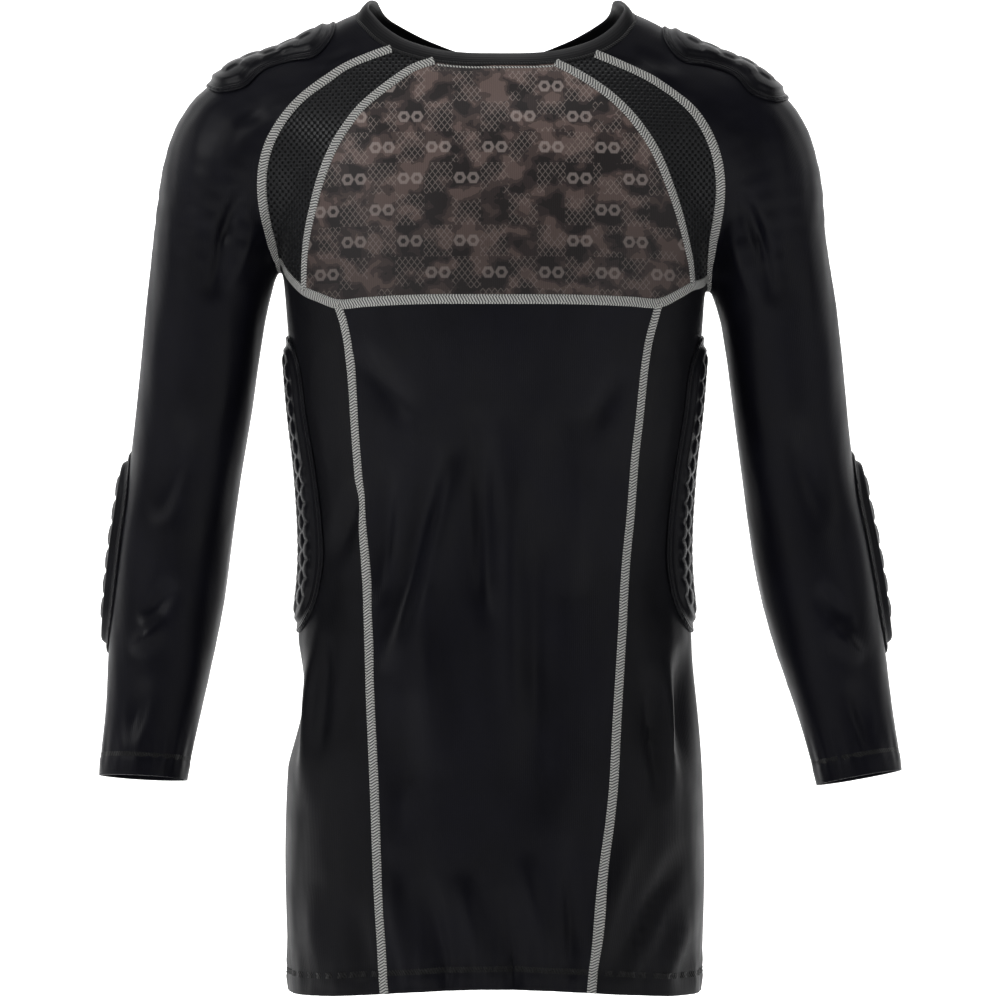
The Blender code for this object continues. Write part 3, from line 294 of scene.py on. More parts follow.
# Seam lines, in mm: across and height as seen from the front or the back
neckForm = {
    "height": [(0, -40.5), (21, -40), (34, -38), (44, -34), (52, -28.5), (59, -20.5), (67, -9), (78, 2.5),
               (90, 6), (105, 4), (120, -5), (140, -18), (160, -27), (180, -30)],
    "across": 4.0,
    "fore": 4.0,
    "netTop": {"right": 35.0, "left": 30.0},
    "raglanFront": {"right": 53.0, "left": 48.0},
    "raglanBack": 118.0,
}
seamForm = {
    "armpitFore": 12.0,
    "armpitTries": (154.0, 172.0, 37),
    "armpitBelow": -260.0,
    "raglanFront": {
        "right": [(108, -40), (121, -48), (137, -59), (153, -76), (164, -93), (170.5, -113),
                  (172, -131), (170.5, -148), (167, -165), (163, -180)],
        "left": [(113, -49), (129, -59), (144, -72), (157, -91), (164, -110), (166.5, -130),
                 (165, -150), (162.5, -165), (160.5, -180)],
    },
    "netInner": {
        "right": [(62, -44), (78, -56), (94, -69), (106, -83), (118, -102), (126, -121),
                  (132, -141), (137, -161), (140, -180), (141, -206)],
        "left": [(58, -46), (74, -56), (89, -68), (105, -86), (118, -106), (127, -127),
                 (135, -149), (141, -171), (145, -190), (146, -202)],
    },
    "chestCorner": {"right": (115.0, -217.0), "left": (120.0, -216.0)},
    "chestMiddle": -215.0,
    "bodyFront": {
        "right": [(109, -235), (106.5, -254), (104, -280), (102, -314), (99, -350), (96.5, -385),
                  (93.5, -430), (91, -500), (87.5, -578), (84.5, -650), (82, -690)],
        "left": [(113, -241), (109.5, -262), (106, -297), (102, -332), (99.5, -367), (96, -403),
                 (93, -455), (89, -519), (85.5, -578), (78, -636), (73, -686)],
    },
    "bodyFrontHem": {"right": 80.0, "left": 70.0},
    "raglanBack": [(83, -24), (104, -46), (124, -74), (141, -106), (153, -138), (160, -168)],
    "bodyBack": [(148, -205), (131, -219), (119, -242), (113, -275), (109, -320), (105, -380),
                 (101, -440), (98, -520), (96, -600), (94, -680)],
    "bodyBackHem": 93.0,
    "hemSide": -727.0,
    "hemFrontRise": 13.0,
    "hemRiseFore": 90.0,
    "hemRiseWidth": 120.0,
}
# Coarse meshes of the panels; each is cut again into "fine" by "fine" for the cloth
meshForm = {"yoke": 13, "body": 20, "bodyGrade": 1.25, "arm": 14, "net": 3, "chestSide": 2,
            "front": 10, "back": 10, "sleeve": 14, "under": 1, "fine": 6}


def neckPoints(angles):
    table = np.array(neckForm["height"], float)
    heights = readCurve(table[:, 0], table[:, 1], np.abs(angles)) * mm
    turn = np.radians(angles)
    starts = np.stack([np.full(len(turn), neckForm["across"] * mm), np.full(len(turn), neckForm["fore"] * mm),
                       heights], axis=1)
    return castTo(starts, np.stack([np.sin(turn), -np.cos(turn), np.zeros(len(turn))], axis=1))


def mirrored(rows, side):
    return [(sides[side] * across, height) for across, height in rows]


def armpitLine(side, fore):
    low, high, tries = seamForm["armpitTries"]
    across = np.linspace(low, high, tries) * sides[side] * mm
    line = []
    for y in fore:
        starts = np.array([(x, y, seamForm["armpitBelow"] * mm) for x in across])
        found = castTo(starts, np.tile([0.0, 0.0, 1.0], (tries, 1)), 0.12)
        line.append(found[np.argmax(found[:, 2])])
    return np.array(line)


def hemHeight(points):
    front = np.clip(-points[:, 1] / (seamForm["hemRiseFore"] * mm), 0.0, 1.0)
    rise = seamForm["hemFrontRise"] * front * np.exp(-(points[:, 0] / (seamForm["hemRiseWidth"] * mm)) ** 2)
    return (seamForm["hemSide"] + rise) * mm


def hemPoints(across, view):
    points = seenFrom(view, [(x, seamForm["hemSide"]) for x in across])
    points[:, 2] = hemHeight(points)
    return settle(points, True)


def makeSeams(side):
    sign, yoke = sides[side], meshForm["yoke"]
    reach, under = seamForm["armpitFore"] * mm, meshForm["under"] + 1
    seams = {"underFront": armpitLine(side, np.linspace(0.0, -reach, under)),
             "underBack": armpitLine(side, np.linspace(0.0, reach, under))}
    neckNet, neckFront, neckBack = neckPoints(sign * np.array(
        [neckForm["netTop"][side], neckForm["raglanFront"][side], neckForm["raglanBack"]]))
    front = seenFrom("front", mirrored(seamForm["raglanFront"][side], side))
    seams["raglanFront"] = settle(spreadPoints([neckFront, *front, seams["underFront"][-1]], yoke))
    back = seenFrom("back", mirrored(seamForm["raglanBack"], side))
    seams["raglanBack"] = settle(spreadPoints([neckBack, *back, seams["underBack"][-1]], yoke))
    inner = seenFrom("front", mirrored(seamForm["netInner"][side], side))
    seams["netInner"] = settle(spreadPoints([neckNet, *inner], yoke))
    corner = seenFrom("front", mirrored([seamForm["chestCorner"][side]], side))[0]
    seams["chestNet"] = settle(spreadPoints([seams["raglanFront"][-1], seams["netInner"][-1]],
                                            meshForm["net"]))
    seams["chestSide"] = settle(spreadPoints([seams["netInner"][-1], corner], meshForm["chestSide"]))
    hemFront = hemPoints([sign * seamForm["bodyFrontHem"][side]], "front")[0]
    hemBack = hemPoints([sign * seamForm["bodyBackHem"]], "back")[0]
    down = seenFrom("front", mirrored(seamForm["bodyFront"][side], side))
    seams["bodyFront"] = settle(spreadPoints([corner, *down, hemFront], meshForm["body"],
                                             meshForm["bodyGrade"]), True)
    down = seenFrom("back", mirrored(seamForm["bodyBack"], side))
    seams["bodyBack"] = settle(spreadPoints([seams["raglanBack"][-1], *down, hemBack], meshForm["body"],
                                            meshForm["bodyGrade"]), True)
    return seams


def patch(top, bottom, start, end, view=None):
    # a grid between four edges that share their corners
    u = np.linspace(0.0, 1.0, len(top))[None, :, None]
    v = np.linspace(0.0, 1.0, len(start))[:, None, None]
    grid = (1 - v) * top[None] + v * bottom[None]
    grid = grid + (1 - u) * (start[:, None] - grid[:, :1]) + u * (end[:, None] - grid[:, -1:])
    inside = grid[1:-1, 1:-1].reshape(-1, 3)
    inside = settle(inside) if view is None else seenFrom(view, inside[:, (0, 2)] / mm)
    grid[1:-1, 1:-1] = inside.reshape(len(start) - 2, len(top) - 2, 3)
    return grid


def refineWay(grid, bends):
    # cuts the rows finer, stretch by stretch, so that edges shared with a neighbour stay the same
    bends = [0, *bends, len(grid) - 1]
    parts = []
    for low, high in zip(bends[:-1], bends[1:]):
        steps = (high - low) * meshForm["fine"]
        part = readCurve(np.arange(low, high + 1), grid[low:high + 1], np.linspace(low, high, steps + 1))
        parts.append(part if not parts else part[1:])
    return np.concatenate(parts)


def refine(grid, rowBends=(), columnBends=()):
    grid = refineWay(grid, rowBends)
    return refineWay(grid.transpose(1, 0, 2), columnBends).transpose(1, 0, 2)


# Colours, nodes and materials
def linear(hexColour):
    channels = [int(hexColour[i:i + 2], 16) / 255 for i in (1, 3, 5)]
    return [c / 12.92 if c <= 0.04045 else ((c + 0.055) / 1.055) ** 2.4 for c in channels] + [1.0]


def addNode(tree, kind, settings=None, inputs=None, out=0):
    # settings are the node's properties; inputs, by name or number, are values or the sockets that feed them
    node = tree.nodes.new(kind)
    for name, value in (settings or {}).items():
        setattr(node, name, value)
    for name, value in (inputs or {}).items():
        if isinstance(value, bpy.types.NodeSocket):
            tree.links.new(value, node.inputs[name])
        else:
            node.inputs[name].default_value = value
    return node.outputs[out]


def newMaterial(name, hexColour, roughness, sheen=0.0, sheenRoughness=0.5, gloss=0.3):
    material = bpy.data.materials.new(name)
    material.use_nodes = True
    material.diffuse_color = linear(hexColour)
    shader = material.node_tree.nodes["Principled BSDF"]
    shader.inputs["Base Color"].default_value = linear(hexColour)
    shader.inputs["Roughness"].default_value = roughness
    shader.inputs["IOR"].default_value = 1.5
    shader.inputs["Sheen Weight"].default_value = sheen
    shader.inputs["Sheen Roughness"].default_value = sheenRoughness
    shader.inputs["Specular IOR Level"].default_value = gloss
    return material, material.node_tree, shader


# Camera: level with the middle of the shirt, as in the photograph
viewForm = {"across": 3.75, "away": 3000.0, "height": -360.0, "lens": 144.0, "sensor": 36.0, "farthest": 40.0}
bpy.ops.object.camera_add(location=(viewForm["across"] * mm, -viewForm["away"] * mm, viewForm["height"] * mm),
                          rotation=(math.pi / 2, 0.0, 0.0))
camera = bpy.context.object
camera.name = "camera"
camera.data.lens = viewForm["lens"]
camera.data.sensor_width = viewForm["sensor"]
camera.data.clip_end = viewForm["farthest"]
bpy.context.scene.camera = camera

# Studio: a pale sweep behind and below, large soft lamps
studioForm = {
    "floor": -1.02, "width": 16.0, "wall": 5.2, "wallHeight": 7.0, "bend": 1.4,
    "paleFrom": 1.6, "paleTo": 2.6, "nearGlow": 0.12,  # the paper glows from this far off the shirt
    "roomLight": 0.055,
}
bpy.ops.mesh.primitive_plane_add(size=studioForm["width"],
                                 location=(0.0, studioForm["wall"] - studioForm["width"] / 2, studioForm["floor"]))
sweep = bpy.context.object
sweep.name = "studio_sweep"
bpy.ops.object.mode_set(mode="EDIT")
bpy.ops.mesh.select_all(action="DESELECT")
bpy.ops.object.mode_set(mode="OBJECT")
for edge in sweep.data.edges:
    edge.select = all(sweep.data.vertices[i].co.y > 0.0 for i in edge.vertices)
bpy.ops.object.mode_set(mode="EDIT")
bpy.ops.mesh.select_mode(type="EDGE")
bpy.ops.mesh.extrude_region_move(TRANSFORM_OT_translate={"value": (0.0, 0.0, studioForm["wallHeight"])})
bpy.ops.object.mode_set(mode="OBJECT")
bevel = sweep.modifiers.new("bend", "BEVEL")
bevel.width = studioForm["bend"]
bevel.segments = 16
bevel.limit_method = "ANGLE"
bpy.ops.object.modifier_apply(modifier="bend")
bpy.ops.object.transform_apply(location=True, rotation=False, scale=False)
bpy.ops.object.shade_smooth()
sweep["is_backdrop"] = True

sweepPaint, tree, shader = newMaterial("studio paper", "#f4f4f4", 0.9)
shader.inputs["Emission Color"].default_value = (1.0, 1.0, 1.0, 1.0)
spot = addNode(tree, "ShaderNodeTexCoord", out="Object")
far = addNode(tree, "ShaderNodeVectorMath", {"operation": "LENGTH"}, {0: spot}, "Value")
glow = addNode(tree, "ShaderNodeMapRange", None,
               {"Value": far, "From Min": studioForm["paleFrom"], "From Max": studioForm["paleTo"],
                "To Min": studioForm["nearGlow"], "To Max": 1.0})
tree.links.new(glow, shader.inputs["Emission Strength"])
sweep.data.materials.append(sweepPaint)

# name, place, aimed at, size, watts
lampForm = [
    ("key lamp", (-2.4, -1.7, 1.3), (0.0, 0.0, -0.3), 0.8, 30.0),
    ("fill lamp", (2.5, -2.0, 0.5), (0.0, 0.0, -0.4), 1.0, 7.0),
    ("top lamp", (0.1, 0.0, 2.2), (0.0, 0.0, -0.1), 1.3, 24.0),
    ("left edge lamp", (-2.4, 0.9, 0.4), (-0.2, 0.0, -0.4), 1.2, 4.0),
    ("right edge lamp", (2.4, 0.9, 0.4), (0.2, 0.0, -0.4), 1.2, 3.0),
    ("sweep lamp", (0.0, 2.6, 3.4), (0.0, 5.2, -0.2), 3.0, 60.0),
]
for name, place, aim, size, watts in lampForm:
    bpy.ops.object.light_add(type="AREA", location=place)
    lamp = bpy.context.object
    lamp.name = name
    lamp.data.shape = "DISK"
    lamp.data.size = size
    lamp.data.energy = watts
    lamp.rotation_euler = (Vector(aim) - Vector(place)).to_track_quat("-Z", "Y").to_euler()
world = bpy.data.worlds.new("soft room")
bpy.context.scene.world = world
world.use_nodes = True
tree = world.node_tree
sky = tree.nodes["Background"]
sky.inputs["Color"].default_value = (1.0, 1.0, 1.0, 1.0)
seen = addNode(tree, "ShaderNodeLightPath", out="Is Camera Ray")
bright = addNode(tree, "ShaderNodeMapRange", None,
                 {"Value": seen, "To Min": studioForm["roomLight"], "To Max": 1.0})
tree.links.new(bright, sky.inputs["Strength"])
bpy.context.scene.view_settings.view_transform = "Standard"
print("camera and studio ready")


# Finishes. Every cloth pattern is read from the "cloth" UV map, whose units are mm.
def parallelLines(tree, uv, pitch, angle=0.0, warp=0.0):
    # one line each pitch mm, at an angle in degrees to the cloth's length
    turned = addNode(tree, "ShaderNodeMapping", None, {"Vector": uv, "Rotation": (0.0, 0.0, math.radians(angle))})
    return addNode(tree, "ShaderNodeTexWave", {"wave_type": "BANDS", "bands_direction": "X", "wave_profile": "SIN"},
                   {"Vector": turned, "Scale": 2 * math.pi / (20.0 * pitch), "Distortion": warp, "Detail": 1.0,
                    "Detail Scale": 0.4}, "Fac")


# Warp-knit polyester and elastane, dyed black: fine upright wales, a soft silky shine that drifts a little
jerseyForm = {
    "colour": "#07070c", "worn": "#0e0e18",
    "roughness": 0.42, "sheen": 0.025, "sheenRoughness": 0.38, "gloss": 0.15,
    "pitch": 1.5,  # mm between wales; real ones are 0.5 mm apart and wouldn't show
    "depth": 0.05,
    "drag": (0.034, 0.011, 1.0),  # long faint drag lines, about 30 mm apart, in cloth that isn't quite flat
    "dragDepth": 3.2,
    "sewn": (),  # needle lines, in mm from a pad's rim
    "sewnDepth": 0.5,
}


def jersey(name, form):
    material, tree, shader = newMaterial(name, form["colour"], form["roughness"], form["sheen"],
                                         form["sheenRoughness"], form["gloss"])
    uv = addNode(tree, "ShaderNodeUVMap", {"uv_map": "cloth"})
    wales = parallelLines(tree, uv, form["pitch"], 0.0, 0.15)
    courses = parallelLines(tree, uv, form["pitch"] * 1.3, 90.0)
    courses = addNode(tree, "ShaderNodeMapRange", None, {"Value": courses, "To Min": 0.6})
    knit = addNode(tree, "ShaderNodeMath", {"operation": "MULTIPLY"}, {0: wales, 1: courses})
    drift = addNode(tree, "ShaderNodeTexNoise", None,
                    {"Vector": uv, "Scale": 0.018, "Detail": 3.0, "Roughness": 0.6})
    faded = addNode(tree, "ShaderNodeMapRange", None,
                    {"Value": drift, "From Min": 0.3, "From Max": 0.7, "To Min": 0.1, "To Max": 0.9})
    grain = addNode(tree, "ShaderNodeTexNoise", None, {"Vector": uv, "Scale": 0.9, "Detail": 2.0})
    grain = addNode(tree, "ShaderNodeMapRange", None, {"Value": grain, "To Min": 0.55})
    shade = addNode(tree, "ShaderNodeMath", {"operation": "MULTIPLY", "use_clamp": True}, {0: faded, 1: grain})
    dyed = addNode(tree, "ShaderNodeMix", {"data_type": "RGBA"},
                   {0: shade, 6: linear(form["colour"]), 7: linear(form["worn"])}, 2)
    ridges = addNode(tree, "ShaderNodeMapRange", None, {"Value": knit, "To Max": 0.35})
    colour = addNode(tree, "ShaderNodeMix", {"data_type": "RGBA"}, {0: ridges, 6: dyed, 7: linear(form["worn"])}, 2)
    shine = addNode(tree, "ShaderNodeMapRange", None,
                    {"Value": drift, "From Min": 0.3, "From Max": 0.7,
                     "To Min": form["roughness"] - 0.05, "To Max": form["roughness"] + 0.09})
    along = addNode(tree, "ShaderNodeMapping", None,
                    {"Vector": uv, "Rotation": (0.0, 0.0, 0.45), "Scale": form["drag"]})
    drag = addNode(tree, "ShaderNodeTexNoise", None,
                   {"Vector": along, "Scale": 1.0, "Detail": 1.0, "Roughness": 0.4})
    relief = addNode(tree, "ShaderNodeBump", None, {"Height": drag, "Distance": form["dragDepth"] * mm})
    relief = addNode(tree, "ShaderNodeBump", None,
                     {"Height": knit, "Distance": form["depth"] * mm, "Normal": relief})
    for distance in form["sewn"]:
        rim = addNode(tree, "ShaderNodeAttribute", {"attribute_name": "edgeDistance"}, None, "Fac")
        off = addNode(tree, "ShaderNodeMath", {"operation": "SUBTRACT"}, {0: rim, 1: distance})
        off = addNode(tree, "ShaderNodeMath", {"operation": "ABSOLUTE"}, {0: off})
        line = addNode(tree, "ShaderNodeMapRange", None, {"Value": off, "From Min": 0.1, "From Max": 0.9})
        relief = addNode(tree, "ShaderNodeBump", None,
                         {"Height": line, "Distance": form["sewnDepth"] * mm, "Normal": relief})
    tree.links.new(colour, shader.inputs["Base Color"])
    tree.links.new(shine, shader.inputs["Roughness"])
    tree.links.new(relief, shader.inputs["Normal"])
    return material


plainJersey = jersey("black warp-knit jersey", jerseyForm)
sideJersey = jersey("black side jersey", {**jerseyForm, "colour": "#08080b", "worn": "#101016", "roughness": 0.46,
                                          "pitch": 1.7})
# The pads' cover is the same jersey drawn tight over foam, so its knit opens and its shine is stronger
padCloth = jersey("black pad cover", {**jerseyForm, "colour": "#09090c", "worn": "#131319", "roughness": 0.4,
                                      "sheen": 0.04, "pitch": 1.3, "depth": 0.035, "dragDepth": 1.0,
                                      "sewn": (1.5, 3.4)})
# The neckband is folded jersey, pressed flat, so it is smoother and a little darker
bandCloth = jersey("black folded neck jersey", {**jerseyForm, "colour": "#070709", "worn": "#0e0e12",
                                                "roughness": 0.48, "pitch": 1.2, "depth": 0.06, "dragDepth": 1.5})

# Open mesh knit: staggered oval holes between glossy threads; the holes are painted near-black, the black cloth
# inside the shirt in painted shade
netForm = {
    # the hole colour is painted shade over black cloth, for the dim inside seen through the holes
    "thread": "#16171a", "shade": "#0d0e10", "hole": "#020203",
    "across": 4.4, "down": 5.2,  # mm between holes; real ones are about 2 mm apart
    "strand": 0.9,
    "roughness": 0.42, "depth": 0.55,
}


def openNet(form):
    material, tree, shader = newMaterial("black open mesh", form["thread"], form["roughness"], 0.05, 0.4, 0.25)
    uv = addNode(tree, "ShaderNodeUVMap", {"uv_map": "cloth"})
    across = addNode(tree, "ShaderNodeSeparateXYZ", None, {"Vector": uv})
    down = across.node.outputs["Y"]
    waves = []
    for place, pitch in ((across, form["across"]), (down, form["down"])):
        turn = addNode(tree, "ShaderNodeMath", {"operation": "MULTIPLY"}, {0: place, 1: 2 * math.pi / pitch})
        waves.append(addNode(tree, "ShaderNodeMath", {"operation": "COSINE"}, {0: turn}))
    hole = addNode(tree, "ShaderNodeMath", {"operation": "MULTIPLY"}, {0: waves[0], 1: waves[1]})
    opening = addNode(tree, "ShaderNodeMapRange", None, {"Value": hole, "From Min": 0.15, "From Max": 0.5})
    strands = parallelLines(tree, uv, form["strand"], 35.0)
    threads = addNode(tree, "ShaderNodeMix", {"data_type": "RGBA"},
                      {0: strands, 6: linear(form["shade"]), 7: linear(form["thread"])}, 2)
    # painted shade: the holes take the near-black hole colour
    colour = addNode(tree, "ShaderNodeMix", {"data_type": "RGBA"},
                     {0: opening, 6: threads, 7: linear(form["hole"])}, 2)
    rough = addNode(tree, "ShaderNodeMapRange", None,
                    {"Value": opening, "To Min": form["roughness"], "To Max": 0.95})
    height = addNode(tree, "ShaderNodeMapRange", None,
                     {"Value": hole, "From Min": -0.2, "From Max": 0.7, "To Min": 1.0, "To Max": 0.0})
    relief = addNode(tree, "ShaderNodeBump", None, {"Height": height, "Distance": form["depth"] * mm})
    tree.links.new(colour, shader.inputs["Base Color"])
    tree.links.new(rough, shader.inputs["Roughness"])
    tree.links.new(relief, shader.inputs["Normal"])
    return material


netCloth = openNet(netForm)

# Dye-sublimated jersey: camouflage blotches in four browns, a faint diamond hatch, small pale hexagon marks
printForm = {
    # brown, and the blotch noise from which on it shows
    "browns": [("#262121", 0.0), ("#3b3231", 0.43), ("#524542", 0.5), ("#6e5d58", 0.565)],
    # pale marks, hatch, the painted shade low on the print, and the dye between the wales
    "pale": "#c0b2ac", "hatch": "#b3a59e", "paintedShade": "#171314", "wale": "#141212",
    "blotch": 19.0, "ragged": 9.0,
    "markAcross": 41.0, "markDown": 23.0, "markSize": 4.2, "markShare": 0.7,
    "hatchPitch": 3.4, "walePitch": 1.5, "waleDepth": 0.05,
    # painted shade: the heights in mm over which the print's darkening grows to its full share
    "paintedShadeFrom": -70.0, "paintedShadeTo": -185.0,
}


def printedJersey(form):
    material, tree, shader = newMaterial("printed camouflage jersey", form["browns"][1][0], 0.55, 0.05, 0.4)
    uv = addNode(tree, "ShaderNodeUVMap", {"uv_map": "cloth"})
    # blotches: wide flat patches with wavy rims
    ragged = addNode(tree, "ShaderNodeTexNoise", None, {"Vector": uv, "Scale": 0.12, "Detail": 2.0}, "Color")
    shift = addNode(tree, "ShaderNodeVectorMath", {"operation": "SCALE"},
                    {"Vector": ragged, "Scale": form["ragged"]})
    wavy = addNode(tree, "ShaderNodeVectorMath", {"operation": "ADD"}, {0: uv, 1: shift})
    wide = addNode(tree, "ShaderNodeMapping", None, {"Vector": wavy, "Scale": (0.9, 1.05, 1.0)})
    blotch = addNode(tree, "ShaderNodeTexNoise", None,
                     {"Vector": wide, "Scale": 1.15 / form["blotch"], "Detail": 1.5, "Roughness": 0.55})
    colour = addNode(tree, "ShaderNodeValToRGB", None, {"Fac": blotch})
    ramp = colour.node.color_ramp
    ramp.interpolation = "CONSTANT"
    for number, (brown, place) in enumerate(form["browns"]):
        stop = ramp.elements[number] if number < 2 else ramp.elements.new(place)
        stop.position, stop.color = place, linear(brown)
    # rows of marks, each second row half a step along
    across = addNode(tree, "ShaderNodeSeparateXYZ", None, {"Vector": uv})
    height = across.node.outputs["Y"]
    down = addNode(tree, "ShaderNodeMath", {"operation": "DIVIDE"}, {0: height, 1: form["markDown"]})
    row = addNode(tree, "ShaderNodeMath", {"operation": "FLOOR"}, {0: down})
    half = addNode(tree, "ShaderNodeMath", {"operation": "PINGPONG"}, {0: row, 1: 1.0})
    half = addNode(tree, "ShaderNodeMath", {"operation": "MULTIPLY"}, {0: half, 1: 0.5})
    across = addNode(tree, "ShaderNodeMath", {"operation": "DIVIDE"}, {0: across, 1: form["markAcross"]})
    across = addNode(tree, "ShaderNodeMath", {"operation": "ADD"}, {0: across, 1: half})
    column = addNode(tree, "ShaderNodeMath", {"operation": "FLOOR"}, {0: across})
    spot = addNode(tree, "ShaderNodeCombineXYZ", None, {"X": column, "Y": row})
    offsets = []
    for place, pitch in ((across, form["markAcross"]), (down, form["markDown"])):
        for operation, amount in (("FRACT", 0.0), ("SUBTRACT", 0.5), ("MULTIPLY", pitch), ("ABSOLUTE", 0.0)):
            place = addNode(tree, "ShaderNodeMath", {"operation": operation}, {0: place, 1: amount})
        offsets.append(place)
    x, y = offsets
    # two small hexagons side by side in each place, left out at some of them
    size = form["markSize"]
    pair = addNode(tree, "ShaderNodeMath", {"operation": "SUBTRACT"}, {0: x, 1: size * 1.15})
    pair = addNode(tree, "ShaderNodeMath", {"operation": "ABSOLUTE"}, {0: pair})
    slantX = addNode(tree, "ShaderNodeMath", {"operation": "MULTIPLY"}, {0: pair, 1: 0.866})
    slantY = addNode(tree, "ShaderNodeMath", {"operation": "MULTIPLY"}, {0: y, 1: 0.5})
    slant = addNode(tree, "ShaderNodeMath", {"operation": "ADD"}, {0: slantX, 1: slantY})
    away = addNode(tree, "ShaderNodeMath", {"operation": "MAXIMUM"}, {0: slant, 1: y})
    solid = addNode(tree, "ShaderNodeMapRange", None,
                    {"Value": away, "From Min": size - 0.5, "From Max": size + 0.3, "To Min": 1.0, "To Max": 0.0})
    core = addNode(tree, "ShaderNodeMapRange", None,
                   {"Value": away, "From Min": size * 0.35, "From Max": size * 0.35 + 0.7,
                    "To Min": 1.0, "To Max": 0.0})
    mark = addNode(tree, "ShaderNodeMath", {"operation": "SUBTRACT", "use_clamp": True}, {0: solid, 1: core})
    chance = addNode(tree, "ShaderNodeTexWhiteNoise", {"noise_dimensions": "3D"}, {"Vector": spot}, "Value")
    chance = addNode(tree, "ShaderNodeMath", {"operation": "GREATER_THAN"}, {0: chance, 1: 1.0 - form["markShare"]})
    mark = addNode(tree, "ShaderNodeMath", {"operation": "MULTIPLY"}, {0: mark, 1: chance})
    mark = addNode(tree, "ShaderNodeMath", {"operation": "MULTIPLY"}, {0: mark, 1: 0.5})
    # hatch: crossed slanting lines in the stretches between the marks
    crossed = []
    for angle in (38.0, -38.0):
        line = parallelLines(tree, uv, form["hatchPitch"], angle)
        crossed.append(addNode(tree, "ShaderNodeMapRange", None,
                               {"Value": line, "From Min": 0.86, "From Max": 0.98}))
    hatch = addNode(tree, "ShaderNodeMath", {"operation": "MAXIMUM"}, {0: crossed[0], 1: crossed[1]})
    beside = addNode(tree, "ShaderNodeMapRange", None,
                     {"Value": x, "From Min": size * 2.3, "From Max": size * 2.3 + 0.8})
    spread = addNode(tree, "ShaderNodeTexNoise", None, {"Vector": uv, "Scale": 0.055, "Detail": 1.0})
    spread = addNode(tree, "ShaderNodeMapRange", None, {"Value": spread, "From Min": 0.4, "From Max": 0.46})
    for share in (beside, spread, 0.42):
        hatch = addNode(tree, "ShaderNodeMath", {"operation": "MULTIPLY"}, {0: hatch, 1: share})
    # painted shade: the print is darkened towards the cross seam, where less light falls than on the upper chest;
    # and the dye runs darker between the wales
    low = addNode(tree, "ShaderNodeMapRange", None,
                  {"Value": height, "From Min": form["paintedShadeFrom"], "From Max": form["paintedShadeTo"], "To Max": 0.5})
    wales = parallelLines(tree, uv, form["walePitch"])
    between = addNode(tree, "ShaderNodeMapRange", None, {"Value": wales, "To Max": 0.16})
    for share, tone in ((hatch, "hatch"), (mark, "pale"), (low, "paintedShade"), (between, "wale")):
        colour = addNode(tree, "ShaderNodeMix", {"data_type": "RGBA"},
                         {0: share, 6: colour, 7: linear(form[tone])}, 2)
    relief = addNode(tree, "ShaderNodeBump", None, {"Height": wales, "Distance": form["waleDepth"] * mm})
    tree.links.new(colour, shader.inputs["Base Color"])
    tree.links.new(relief, shader.inputs["Normal"])
    return material


printCloth = printedJersey(printForm)

# Flatlock seam: grey polyester thread, laid in slanting rungs between two needle lines
threadForm = {"thread": "#d2d2ce", "gap": "#484849", "pitch": 2.0, "slant": 62.0, "roughness": 0.62, "depth": 0.35}


def stitchCloth(name, form):
    material, tree, shader = newMaterial(name, form["thread"], form["roughness"], 0.05, 0.5)
    uv = addNode(tree, "ShaderNodeUVMap", {"uv_map": "cloth"})
    across = addNode(tree, "ShaderNodeSeparateXYZ", None, {"Vector": uv})
    across = addNode(tree, "ShaderNodeMath", {"operation": "ABSOLUTE"}, {0: across})
    rungs = parallelLines(tree, uv, form["pitch"], form["slant"])
    loops = parallelLines(tree, uv, form["pitch"], 90.0)
    needle = addNode(tree, "ShaderNodeMapRange", None, {"Value": across, "From Min": 2.0, "From Max": 2.4})
    threads = addNode(tree, "ShaderNodeMix", {"data_type": "RGBA"}, {0: needle, 6: rungs, 7: loops}, 2)
    lit = addNode(tree, "ShaderNodeMapRange", None, {"Value": threads, "From Min": 0.15, "From Max": 0.75})
    wear = addNode(tree, "ShaderNodeTexNoise", None, {"Vector": uv, "Scale": 0.25, "Detail": 2.0})
    wear = addNode(tree, "ShaderNodeMapRange", None, {"Value": wear, "To Max": 0.25})
    pale = addNode(tree, "ShaderNodeMix", {"data_type": "RGBA"},
                   {0: wear, 6: linear(form["thread"]), 7: linear(form["gap"])}, 2)
    colour = addNode(tree, "ShaderNodeMix", {"data_type": "RGBA"}, {0: lit, 6: linear(form["gap"]), 7: pale}, 2)
    relief = addNode(tree, "ShaderNodeBump", None, {"Height": threads, "Distance": form["depth"] * mm})
    tree.links.new(colour, shader.inputs["Base Color"])
    tree.links.new(relief, shader.inputs["Normal"])
    return material


greyThread = stitchCloth("grey flatlock thread", threadForm)
blackThread = stitchCloth("black cover stitch", {**threadForm, "thread": "#0b0b0e", "gap": "#040405", "pitch": 1.8,
                                                 "depth": 0.3})
print("finishes ready")


# Cloth walls
clothForm = {"wall": 1.4, "hemWall": 2.4, "sharp": 50.0}
hemForm = {
    "turn": 15.0, "girth": 128.0, "proud": 0.5, "edge": 0.9, "from": -640.0, "within": 190.0,
    "line": 0.8, "lineWidth": 1.9, "gatherReach": 17.0,
    "pucker": 0.85, "puckerPitch": 10.5, "wave": 1.0, "wavePitch": 33.0,
}
unevenForm = {"long": 0.28, "short": 0.22}


def clothUv(grid):
    # across from the middle column and down the panel, in mm
    rows, columns = grid.shape[:2]
    across = np.linalg.norm(np.diff(grid, axis=1), axis=2) / mm
    down = np.linalg.norm(np.diff(grid, axis=0), axis=2) / mm
    u = np.concatenate([np.zeros((rows, 1)), np.cumsum(across, axis=1)], axis=1)
    v = np.concatenate([np.zeros((1, columns)), -np.cumsum(down, axis=0)], axis=0)
    return np.stack([u - u[:, columns // 2][:, None], v], axis=2)


